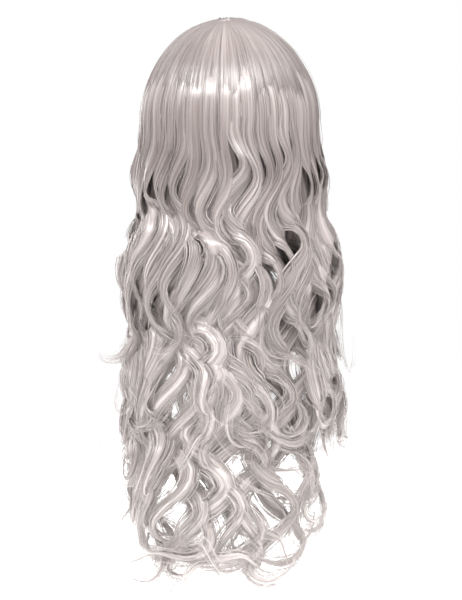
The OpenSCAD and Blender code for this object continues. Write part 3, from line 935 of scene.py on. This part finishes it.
# thread, skin or plastic: a mottled colour with a fine grain, in the object's own coordinates
def grainMaterial(name, light, dark, scale, roughness, bump, **sockets):
    material, tree, shader = newMaterial(name)
    place = tree.nodes.new("ShaderNodeTexCoord").outputs["Object"]
    grain = noiseNode(tree, place, scale, 4.0)
    tree.links.new(rampNode(tree, grain, [(0.3, dark), (0.7, light)]), shader.inputs["Base Color"])
    addRoughness(tree, shader, grain, roughness + 0.07, roughness - 0.07)
    addBump(tree, shader, grain, bump, 0.15 * mm)
    for label, value in sockets.items():
        shader.inputs[label.replace("_", " ")].default_value = value
    return material


elasticBand = weaveMaterial("elasticBand", (0.44, 0.40, 0.385), (0.24, 0.215, 0.205), 0.9 * mm, 0.72)
velvetBand = weaveMaterial("velvetBand", (0.50, 0.45, 0.43), (0.33, 0.295, 0.28), 0.5 * mm, 0.8, 0.8)
weftTape = weaveMaterial("weftTape", (0.42, 0.39, 0.38), (0.2, 0.185, 0.18), 0.7 * mm, 0.65)
labelSatin = weaveMaterial("labelSatin", (0.86, 0.85, 0.83), (0.66, 0.65, 0.63), 0.35 * mm, 0.42)
laceThread = grainMaterial(
    "laceThread", (0.62, 0.54, 0.50), (0.44, 0.37, 0.34), 900, 0.6, 0.4, Sheen_Weight=0.3
)
sewingThread = grainMaterial(
    "sewingThread", (0.70, 0.66, 0.64), (0.5, 0.46, 0.44), 1400, 0.5, 0.5, Sheen_Weight=0.3
)
skinBase = grainMaterial(
    "skinBase", (0.60, 0.45, 0.38), (0.48, 0.34, 0.28), 420, 0.48, 0.35, Subsurface_Weight=0.15
)
clearPlastic = grainMaterial(
    "clearPlastic", (0.74, 0.74, 0.72), (0.6, 0.6, 0.58), 160, 0.24, 0.12, Coat_Weight=0.4
)


# every edge of a mesh, or a chain of them, as a closed round thread
def threadTree():
    tree, group, out = newTree("threadsAlongEdges", [
        ("radius", "Float", 0.0003), ("sides", "Int", 3), ("material", "Material", None),
    ])
    toCurve = tree.nodes.new("GeometryNodeMeshToCurve")
    tree.links.new(group.outputs["Geometry"], toCurve.inputs["Mesh"])
    profile = tree.nodes.new("GeometryNodeCurvePrimitiveCircle")
    tree.links.new(group.outputs["sides"], profile.inputs["Resolution"])
    tree.links.new(group.outputs["radius"], profile.inputs["Radius"])
    sweep = tree.nodes.new("GeometryNodeCurveToMesh")
    tree.links.new(toCurve.outputs["Curve"], sweep.inputs["Curve"])
    tree.links.new(profile.outputs["Curve"], sweep.inputs["Profile Curve"])
    sweep.inputs["Fill Caps"].default_value = True
    return finishTree(tree, group, out, sweep.outputs["Mesh"])


# a row of raised stitches along a seam
def stitchTree():
    tree, group, out = newTree("stitchesAlongSeam", [
        ("pitch", "Float", 0.003), ("length", "Float", 0.0018), ("thickness", "Float", 0.0006),
        ("material", "Material", None),
    ])
    nodes, links = tree.nodes, tree.links
    toCurve = nodes.new("GeometryNodeMeshToCurve")
    links.new(group.outputs["Geometry"], toCurve.inputs["Mesh"])
    flow = setFreeNormal(tree, toCurve.outputs["Curve"])
    places = nodes.new("GeometryNodeCurveToPoints")
    places.mode = "LENGTH"
    links.new(flow, places.inputs["Curve"])
    links.new(group.outputs["pitch"], places.inputs["Length"])
    stitch = nodes.new("GeometryNodeMeshUVSphere")
    stitch.inputs["Segments"].default_value = 6
    stitch.inputs["Rings"].default_value = 4
    stitch.inputs["Radius"].default_value = 0.5
    shape = nodes.new("ShaderNodeCombineXYZ")
    links.new(group.outputs["thickness"], shape.inputs[0])
    links.new(group.outputs["thickness"], shape.inputs[1])
    links.new(group.outputs["length"], shape.inputs[2])
    sized = nodes.new("GeometryNodeTransform")
    links.new(stitch.outputs["Mesh"], sized.inputs["Geometry"])
    links.new(shape.outputs[0], sized.inputs["Scale"])
    rows = nodes.new("GeometryNodeInstanceOnPoints")
    links.new(places.outputs["Points"], rows.inputs["Points"])
    links.new(places.outputs["Rotation"], rows.inputs["Rotation"])
    links.new(sized.outputs["Geometry"], rows.inputs["Instance"])
    return finishTree(tree, group, out, rows.outputs["Instances"])


threads = threadTree()
stitches = stitchTree()


# chains of points as one edge mesh, with the way out of the cap at each point
def chainMesh(name, chains, lifts=None):
    points, edges = [], []
    for chain in chains:
        first = len(points)
        points.extend(chain)
        edges.extend((first + i, first + i + 1) for i in range(len(chain) - 1))
    piece = addMesh(name, points, edges, [])
    if lifts is not None:
        storeVectors(piece.data, "lift", np.concatenate(lifts))
    return piece


def threadPiece(name, chains, radius, sides=3, material=laceThread):
    settings = {"radius": radius, "sides": sides, "material": material}
    return bakedPiece(chainMesh(name, chains), threads, settings)


def seam(azimuths, latitudes, depth):
    azimuths, latitudes = np.broadcast_arrays(np.asarray(azimuths, float), np.asarray(latitudes, float))
    return skull(azimuths, latitudes, depth), normalAt(azimuths, latitudes)


def stitchRow(name, seams, pitch=2.6 * mm, length=1.8 * mm, thickness=0.55 * mm):
    piece = chainMesh(name, [s[0] for s in seams], [s[1] for s in seams])
    settings = {"pitch": pitch, "length": length, "thickness": thickness, "material": sewingThread}
    return bakedPiece(piece, stitches, settings)


# a soft-edged strip on the head between two latitudes, with its weave coordinates
def capStrip(name, azimuths, top, bottom, depthIn, depthOut, rows, material):
    azimuths = np.asarray(azimuths, float)[:, None]
    share = np.linspace(0, 1, rows + 1)[None, :]
    latitude = top[:, None] + (bottom - top)[:, None] * share
    middle, half = (depthIn + depthOut) / 2, (depthOut - depthIn) / 2
    fullness = 0.3 + 0.7 * (1 - np.abs(2 * share - 1) ** 6) + 0 * latitude
    outer = skull(azimuths, latitude, middle + half * fullness)
    inner = skull(azimuths, latitude, middle - half * fullness)
    piece = slabMesh(name, outer, inner)
    runs = np.concatenate([[0], np.cumsum(np.linalg.norm(np.diff(outer[:, 0], axis=0), axis=1))])
    across = np.linalg.norm(outer - outer[:, :1], axis=-1)
    fibre = np.stack([runs[:, None] + 0 * across, across, 0 * across], axis=-1).reshape(-1, 3)
    storeVectors(piece.data, "fibre", np.concatenate([fibre, fibre]))
    piece.data.materials.append(material)
    return piece


def steps(low, high, pitch):
    return np.linspace(low, high, max(2, int(abs(high - low) / pitch) + 1))


net = {
    "cell": 1.25, "thread": 0.3 * mm, "depth": 0.4 * mm,
    "skinEdge": 13, "lower": 50, "sideAz": 104, "reach": 95,
}


# a net of six-sided meshes, laid out flat and wrapped on the dome; inside says where it is
def hexNet(name, inside):
    corners, edges = {}, set()
    cell, reach = net["cell"], net["reach"]
    across, down = 1.732 * cell, 1.5 * cell
    for j in range(int(-reach / down), int(reach / down) + 1):
        for i in range(int(-reach / across), int(reach / across) + 1):
            cx, cy = across * (i + 0.5 * (j % 2)), down * j
            loop = []
            for k in range(6):
                x = cx + cell * math.cos(math.radians(60 * k + 30))
                y = cy + cell * math.sin(math.radians(60 * k + 30))
                key = (round(x * 50), round(y * 50))
                if key not in corners and inside(x, y):
                    corners[key] = (len(corners), x, y)
                loop.append(corners.get(key))
            for a, b in zip(loop, loop[1:] + loop[:1]):
                if a and b:
                    edges.add((min(a[0], b[0]), max(a[0], b[0])))
    flat = np.array([(x, y) for _, x, y in corners.values()])
    piece = addMesh(name, onDome(flat[:, 0], flat[:, 1], net["depth"]), sorted(edges), [])
    return bakedPiece(piece, threads, {"radius": net["thread"], "sides": 3, "material": laceThread})


# the flat plan of the dome: the distance from its middle is the latitude
def onDome(x, y, depth):
    return skull(np.degrees(np.arctan2(x, y)), np.hypot(x, y), depth)


def finished(piece, body, slot, *nodes):
    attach(piece, body)
    if nodes:
        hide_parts(*nodes)
    print(piece.name, countTriangles(piece), "triangles")
    return piece


def buildNets():
    crown = hexNet("crownNet", lambda x, y: net["skinEdge"] < math.hypot(x, y) < net["lower"])
    allRound = np.linspace(0, 360, 121)
    borders = (net["skinEdge"] + 0.5, net["lower"] - 0.3)
    cords = [seam(allRound, latitude, net["depth"])[0] for latitude in borders]
    border = threadPiece("netBorder", cords, 0.55 * mm, 6)
    finished(joined("crownNet", [crown, border]), "cap", "lace", "crown_net")

    def overForehead(x, y):
        azimuth, latitude = math.degrees(math.atan2(x, y)), math.hypot(x, y)
        lowest = min(float(rim(azimuth)) - 7, 86.5)
        return folded(azimuth) > net["sideAz"] and net["lower"] + 0.5 < latitude < lowest

    front = hexNet("frontNet", overForehead)
    finished(front, "cap", "lace", "front_net")


def buildSkinTop():
    allRound = np.linspace(0, 360, 72, endpoint=False)[:, None]
    latitude = np.linspace(1.2, net["skinEdge"], 9)[None, :] + 0 * allRound
    edge = smooth((latitude - 11.5) / 1.5)
    outer = skull(allRound, latitude, (0.8 - 0.25 * edge) * mm)
    inner = skull(allRound, latitude, 0.25 * edge * mm)
    poles = [skull(0, 0, 0.8 * mm), skull(0, 0, 0)]
    piece = slabMesh("skinTop", outer, inner, True, poles)
    piece.data.materials.append(skinBase)
    ringSeam = seam(np.linspace(0, 360, 73), 12.2, -0.05 * mm)
    sewn = stitchRow("skinStitches", [ringSeam], pitch=2.2 * mm)
    finished(joined("skinTop", [piece, sewn]), "cap", "skin", "skin_top")


bands = {
    # name: azimuths from and to, width in degrees of latitude, thickness, material, node
    "frontBand": (122.5, 237.5, 7.6, 1.5 * mm, velvetBand, "front_band"),
    "napeBand": (-49, 49, 7, 0.8 * mm, elasticBand, "nape_band"),
    "leftSideBand": (49.5, 102, 5, 0.8 * mm, elasticBand, "left_side_band"),
    "rightSideBand": (-102, -49.5, 5, 0.8 * mm, elasticBand, "right_side_band"),
}


def buildBands():
    for name, (low, high, wide, thick, material, node) in bands.items():
        azimuths = steps(low, high, 1.2)
        bottom = rim(azimuths)
        strip = capStrip(name, azimuths, bottom - wide, bottom, 0, thick, 8, material)
        inset = azimuths[1:-1]
        rows = [
            seam(inset, rim(inset) - edge, depth)
            for edge in (1.0, wide - 1.0)
            for depth in (-0.02 * mm, thick + 0.02 * mm)
        ]
        sewn = stitchRow(name + "Stitches", rows)
        finished(joined(name, [strip, sewn]), "cap", "band", node)


rib = {
    "pitch": 28, "halfWidth": 3.9 * mm, "depth": 1.65 * mm, "top": 48, "headRadius": 0.097,
    "cell": 1.35 * mm, "thread": 0.24 * mm,
}


# how far down the cap a length measured from the widest level reaches, as latitude
def latitudeAt(length):
    return 90 + np.degrees(np.where(length > 0, length / head["napeHeight"], length / head["height"]))


def buildRibs():
    for index in range(1, 8):
        middle = (index - 4) * rib["pitch"]
        start = math.radians(rib["top"] - 90) * head["height"]
        stop = math.radians(float(rim(middle)) - 2 - 90) * head["napeHeight"]
        centre = (start + stop) / 2

        def onRib(x, y, depth):
            latitude = latitudeAt(y + centre)
            squeeze = np.sin(np.radians(np.minimum(latitude, 90)))
            turn = np.degrees(x / rib["headRadius"]) * (0.6 + 0.4 * squeeze)
            return skull(middle + turn, latitude, depth)

        lace = stripNet(f"laceRib{index}", rib, (stop - start) / 2, onRib)
        lengths = np.linspace(start - centre, stop - centre, 40)
        edges = [onRib(np.full(40, side * rib["halfWidth"]), lengths, rib["depth"]) for side in (-1, 1)]
        border = threadPiece("ribBorder", edges, 0.5 * mm, 6)
        finished(joined(f"laceRib{index}", [lace, border]), "cap", "lace", f"lace_rib_{index}")


# a narrow strip of lace: rows of six-sided meshes between two straight edges
def stripNet(name, plan, halfLength, place):
    cell = plan["cell"]
    chains = []
    count = int(2 * halfLength / (cell * 1.5))
    for j in range(count):
        y = -halfLength + (j + 0.5) * cell * 1.5
        for i in range(-1, 2):
            x = (i + 0.25 * (1 if j % 2 else -1)) * cell * 1.8
            turns = np.radians(range(30, 391, 60))
            loop = [(x + 0.98 * cell * math.cos(a), y + 0.98 * cell * math.sin(a)) for a in turns]
            flat = np.clip(np.array(loop), (-plan["halfWidth"], -halfLength), (plan["halfWidth"], halfLength))
            chains.append(place(flat[:, 0], flat[:, 1], plan["depth"]))
    return threadPiece(name, chains, plan["thread"])


weft = {
    "rows": 10, "topLat": 56, "bottomLat": 112, "height": 3.2 * mm, "depthIn": 2.5 * mm, "depthOut": 3.9 * mm,
    "reach": (104, 104, 104, 104, 94, 94, 66, 66, 50, 50), "zigzag": 3.0,
}


def buildWefts():
    for row in range(weft["rows"]):
        latitude = weft["topLat"] + (weft["bottomLat"] - weft["topLat"]) * row / (weft["rows"] - 1)
        half = math.degrees(weft["height"] / 2 / (head["napeHeight"] if latitude > 90 else head["height"]))
        reach = weft["reach"][row]
        azimuths = steps(-reach, reach, 2.0)
        level = np.full(len(azimuths), latitude)
        name = f"weftTrack{row + 1}"
        depths = (weft["depthIn"], weft["depthOut"])
        tape = capStrip(name, azimuths, level - half, level + half, *depths, 4, weftTape)
        turns = steps(-reach + 1, reach - 1, weft["zigzag"] / 2)
        lean = np.where(np.arange(len(turns)) % 2, 0.6, -0.6) * half
        faces = (weft["depthIn"] - 0.1 * mm, weft["depthOut"] + 0.1 * mm)
        zigzags = [skull(turns, latitude + lean, depth) for depth in faces]
        thread = threadPiece("zigzag", zigzags, 0.22 * mm, 4, sewingThread)
        finished(joined(name, [tape, thread]), "cap", "weft", f"weft_track_{row + 1}")


tab = {"middle": 112, "half": 9, "top": 87, "drop": 17, "thickness": 1.2 * mm}


def buildTabs():
    for word, turned in (("left", 1), ("right", -1)):
        azimuths = np.linspace(tab["middle"] - tab["half"], tab["middle"] + tab["half"], 25)
        top = np.full(25, float(tab["top"]))
        bottom = tab["top"] + tab["drop"] * np.sqrt(1.05 - ((azimuths - tab["middle"]) / tab["half"]) ** 2)
        flap = capStrip(word + "EarTab", turned * azimuths, top, bottom, 0, tab["thickness"], 12, velvetBand)
        inset = azimuths[1:-1]
        curve = bottom[1:-1] - 1.1
        rows = [seam(turned * inset, curve, depth) for depth in (-0.02 * mm, tab["thickness"] + 0.02 * mm)]
        sewn = stitchRow("tabStitches", rows, pitch=2.2 * mm, length=1.5 * mm)
        edgeLine = skull(turned * azimuths, bottom, tab["thickness"] / 2)
        edge = threadPiece("tabEdge", [edgeLine], 0.75 * mm, 8, elasticBand)
        finished(joined(word + "EarTab", [flap, sewn, edge]), word + "_tab", "band", word + "_ear_tab")
        for node in ("_ear_stay", "_strap_hook"):
            setMaterial(bpy.data.objects[word + node], clearPlastic)


def setMaterial(thing, material):
    for place in thing.material_slots:
        place.material = material


adjuster = {
    "az": 27, "lat": 110, "endAz": 63, "endLat": 104.5, "tapeLength": 20 * mm, "tapeWidth": 9 * mm,
    "tapeThick": 0.8 * mm, "loops": 4, "loopPitch": 4 * mm, "loopHalf": 2.65 * mm, "loopHeight": 3.15 * mm,
    "travel": 12 * mm, "tongue": 13.4 * mm, "eye": 4.5 * mm, "curve": 172 * mm, "strapWidth": 6 * mm,
    "hookAz": 45.5, "hookLat": 107.2,
}


# the adjuster's own axes on the inside of the cap: towards the ear, up the cap and into the head space
def adjusterFrame(turned):
    plan = adjuster
    depth = -0.6 * mm - (plan["tapeLength"] / 2) ** 2 / plan["curve"]
    seat = skull(plan["az"], plan["lat"], depth)
    inward = -normalAt(plan["az"], plan["lat"])
    run = skull(plan["endAz"], plan["endLat"], 0) - seat
    along = unit(run - inward * np.dot(run, inward))
    upward = np.cross(inward, along)
    flip = np.array([turned, 1, 1])
    return lambda x, y, z: (seat + along * x + upward * y + inward * z) * flip


def loopTape(name, at):
    plan = adjuster
    columns, rows = 21, 9
    x = np.linspace(-plan["tapeLength"] / 2, plan["tapeLength"] / 2, columns)
    y = np.linspace(-plan["tapeWidth"] / 2, plan["tapeWidth"] / 2, rows)
    edge = 0.25 * mm * np.clip(np.abs(y) * 2 / plan["tapeWidth"] * 6 - 5, 0, 1)
    face = np.array([[at(a, b, plan["tapeThick"] - e) for b, e in zip(y, edge)] for a in x])
    back = np.array([[at(a, b, e) for b, e in zip(y, edge)] for a in x])
    piece = slabMesh(name, face, back)
    fibre = np.array([[(a, b, 0) for b in y] for a in x]).reshape(-1, 3)
    storeVectors(piece.data, "fibre", np.concatenate([fibre, fibre]))
    piece.data.materials.append(elasticBand)
    chains = []
    for i in range(plan["loops"]):
        for side in (-0.4 * mm, 0.4 * mm):
            place = plan["travel"] / 2 - i * plan["loopPitch"] + side
            turns = np.linspace(0, math.pi, 13)
            bow = np.sign(np.cos(turns)) * np.abs(np.cos(turns)) ** 0.45 * plan["loopHalf"]
            rise = 0.3 * mm + (plan["loopHeight"] - 0.3 * mm) * np.abs(np.sin(turns)) ** 0.45
            chains.append([at(place, b, r) for b, r in zip(bow, rise)])
    loops = threadPiece("threadLoops", chains, 0.35 * mm, 6, sewingThread)
    lift = at(0, 0, 1) - at(0, 0, 0)
    seams = []
    for side in (-1, 1):
        row = np.array([at(a, side * (plan["tapeWidth"] / 2 - 0.9 * mm), plan["tapeThick"]) for a in x])
        seams.append((row, np.tile(lift, (columns, 1))))
    sewn = stitchRow("tapeStitches", seams, pitch=2 * mm, length=1.4 * mm)
    return joined(name, [piece, loops, sewn])


def strapPiece(name, turned, at):
    plan = adjuster
    outerEnd = plan["travel"] / 2 + plan["tongue"] + plan["eye"]
    start = plan["az"] + math.degrees((outerEnd + 0.8 * mm) * 2 / plan["curve"])
    azimuths = np.linspace(start, plan["endAz"], 28)
    share = (azimuths - start) / (plan["endAz"] - start)
    slope = (plan["endLat"] - plan["lat"]) / (plan["endAz"] - plan["az"])
    middle = plan["lat"] + slope * (azimuths - plan["az"])
    half = math.degrees(plan["strapWidth"] / 2 / head["napeHeight"])
    lift = (-0.4 + 0.2 * (1 - share)) * mm
    ribs = 0.12 * mm * np.sin(share * 90)
    rows = 7
    latitude = middle[:, None] + half * np.linspace(-1, 1, rows)[None, :]
    outer = skull(turned * azimuths[:, None], latitude, lift[:, None] - 0.1 * mm + ribs[:, None])
    inner = skull(turned * azimuths[:, None], latitude, lift[:, None] - 0.9 * mm - ribs[:, None])
    piece = slabMesh(name, outer, inner)
    onStrap = (share[:, None] * 34 * mm, np.linspace(0, plan["strapWidth"], rows)[None, :], 0.0)
    fibre = np.stack(np.broadcast_arrays(*onStrap), axis=-1)
    storeVectors(piece.data, "fibre", np.concatenate([fibre.reshape(-1, 3)] * 2))
    piece.data.materials.append(elasticBand)
    # the strap's end is folded round the outer bar of the hook's eye and sewn to itself
    bar = outerEnd - 0.7 * mm
    turns = np.linspace(0, 2 * math.pi, 20, endpoint=False)
    widths = np.linspace(-2.9 * mm, 2.9 * mm, 5)

    def sleeve(radius):
        places = [(bar + 1.25 * radius * math.cos(t), 1.8 * mm + radius * math.sin(t)) for t in turns]
        return np.array([[at(run, w, rise) for w in widths] for run, rise in places])

    fold = slabMesh("fold", sleeve(1.25 * mm), sleeve(0.75 * mm), wrap=True)
    storeVectors(fold.data, "fibre", np.zeros((len(fold.data.vertices), 3)))
    fold.data.materials.append(elasticBand)
    seams = [
        seam(turned * azimuths[k] * np.ones(9), middle[k] + np.linspace(-0.8, 0.8, 9) * half, -1.45 * mm)
        for k in (3, 24)
    ]
    sewn = stitchRow("strapStitches", seams, pitch=1.1 * mm, length=0.9 * mm, thickness=0.5 * mm)
    return joined(name, [piece, fold, sewn])


def buildAdjusters():
    for word, turned in (("left", 1), ("right", -1)):
        at = adjusterFrame(turned)
        finished(loopTape(word + "LoopTape", at), "cap", "lace", word + "_loop_tape")
        strap = strapPiece(word + "Strap", turned, at)
        fixed = skull(turned * adjuster["endAz"], adjuster["endLat"], 0)
        hooked = skull(turned * adjuster["hookAz"], adjuster["hookLat"], 0)
        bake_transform(strap)
        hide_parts(word + "_strap")
        print(strap.name, countTriangles(strap), "triangles")


label = {
    "half": 11, "top": 100, "drop": 9, "curl": 1.2 * mm, "outer": 0.62 * mm, "inner": 0.28 * mm,
    "headRadius": 0.094, "tall": 20.4 * mm,
    "slack": 0.5 * mm,  # it was cut a little larger than it lies, because its corners curl
}


def buildLabel():
    half = label["half"]
    azimuths = np.linspace(-half, half, 2 * half + 1)
    share = np.linspace(0, 1, 13)[None, :]
    latitude = label["top"] + label["drop"] * share + 0 * azimuths[:, None]
    curl = label["curl"] * share**3 * (np.abs(azimuths[:, None]) / half) ** 3
    outer = skull(azimuths[:, None], latitude, label["outer"] - curl)
    inner = skull(azimuths[:, None], latitude, label["inner"] - curl)
    piece = slabMesh("sizeLabel", outer, inner)
    x = np.radians(azimuths)[:, None] * label["headRadius"] + 0 * share
    y = label["tall"] * share + 0 * x
    fibre = np.stack([x, y, 0 * x], axis=-1).reshape(-1, 3)
    storeVectors(piece.data, "fibre", np.concatenate([fibre, fibre]))
    piece.data.materials.append(labelSatin)
    finished(piece, "cap", "label", "size_label")
    sewnEdge = seam(azimuths[1:-1], label["top"] + 0.5, 0.25 * mm)
    sewn = stitchRow("labelStitches", [sewnEdge], pitch=2 * mm, length=1.4 * mm)
    finished(sewn, "cap", "label")


buildNets()
buildSkinTop()
buildBands()
buildRibs()
buildWefts()
buildTabs()
buildAdjusters()
buildLabel()
print("cap sewn")


studio = {
    "floorDrop": 12 * mm, "distance": 3.0, "azimuth": 195, "elevation": 2.0, "frameHeight": 0.618,
    "lookRight": 1 * mm, "lookHeight": -279 * mm, "surround": 0.2,
    "keyTurns": {"leftKey": -52, "middleKey": 0, "rightKey": 52}, "keyDistance": 1.3, "keyHeight": 1.15,
    "keySize": (1.3, 0.3), "keyPower": 25, "fillPower": 3, "frontPower": 24,
    "floorHalf": 4, "floorGlow": 0.84,
}


def aim(thing, target):
    direction = Vector(target) - thing.location
    thing.rotation_euler = direction.to_track_quat("-Z", "Y").to_euler()


def addArea(name, place, target, size, power):
    light = bpy.data.lights.new(name, "AREA")
    light.shape = "RECTANGLE"
    light.size, light.size_y = size
    light.energy = power
    lamp = bpy.data.objects.new(name, light)
    scene.collection.objects.link(lamp)
    lamp.location = place
    aim(lamp, target)


# soft light all round, behind a white sky that only the camera sees at full strength
def buildWorld():
    world = bpy.data.worlds.new("studioWorld")
    scene.world = world
    world.use_nodes = True
    nodes, links = world.node_tree.nodes, world.node_tree.links
    dim = nodes["Background"]
    dim.inputs["Color"].default_value = (1, 1, 1, 1)
    dim.inputs["Strength"].default_value = studio["surround"]
    white = nodes.new("ShaderNodeBackground")
    white.inputs["Color"].default_value = (1, 1, 1, 1)
    white.inputs["Strength"].default_value = 1.0
    path = nodes.new("ShaderNodeLightPath")
    mix = nodes.new("ShaderNodeMixShader")
    links.new(path.outputs["Is Camera Ray"], mix.inputs["Fac"])
    links.new(dim.outputs[0], mix.inputs[1])
    links.new(white.outputs[0], mix.inputs[2])
    links.new(mix.outputs[0], nodes["World Output"].inputs["Surface"])


def buildFloor():
    z = hairFoot - studio["floorDrop"]
    half = studio["floorHalf"]
    corners = [(-half, -half, z), (half, -half, z), (half, half, z), (-half, half, z)]
    floor = addMesh("floor", corners, [], [(0, 1, 2, 3)])
    material, tree, shader = newMaterial("studioFloor")
    shader.inputs["Base Color"].default_value = (0.9, 0.9, 0.9, 1)
    shader.inputs["Roughness"].default_value = 0.9
    shader.inputs["Specular IOR Level"].default_value = 0.1
    shader.inputs["Emission Color"].default_value = (1, 1, 1, 1)
    shader.inputs["Emission Strength"].default_value = studio["floorGlow"]
    floor.data.materials.append(material)


def buildStudio():
    angle = math.radians(studio["azimuth"])
    forward = (-math.sin(angle), math.cos(angle))
    right = (forward[1], -forward[0])

    def around(back, sideways, up):
        return [-forward[i] * back + right[i] * sideways for i in (0, 1)] + [up]

    # three long lamps in an arc, so that the shine goes right round the crown
    distance = studio["keyDistance"]
    for name, degrees in studio["keyTurns"].items():
        turn = math.radians(degrees)
        place = around(distance * math.cos(turn), distance * math.sin(turn), studio["keyHeight"])
        addArea(name, place, (0, 0, -0.1), studio["keySize"], studio["keyPower"])
    addArea("fillLight", around(1.1, 1.5, 0.0), (0, 0, -0.3), (1.0, 1.4), studio["fillPower"])
    addArea("frontLight", around(-1.4, -0.5, -0.1), (0, 0, -0.25), (1.4, 1.0), studio["frontPower"])
    camera = bpy.data.cameras.new("camera")
    camera.sensor_fit = "VERTICAL"
    camera.sensor_height = 24
    camera.lens = camera.sensor_height * studio["distance"] / studio["frameHeight"]
    view = bpy.data.objects.new("camera", camera)
    scene.collection.objects.link(view)
    rise = math.radians(studio["elevation"])
    lookAt = around(0, studio["lookRight"], studio["lookHeight"])
    view.location = around(
        studio["distance"] * math.cos(rise),
        studio["lookRight"],
        studio["lookHeight"] + studio["distance"] * math.sin(rise),
    )
    aim(view, lookAt)
    scene.camera = view
    scene.view_settings.view_transform = "Standard"


buildWorld()
buildFloor()
buildStudio()
print("studio set")
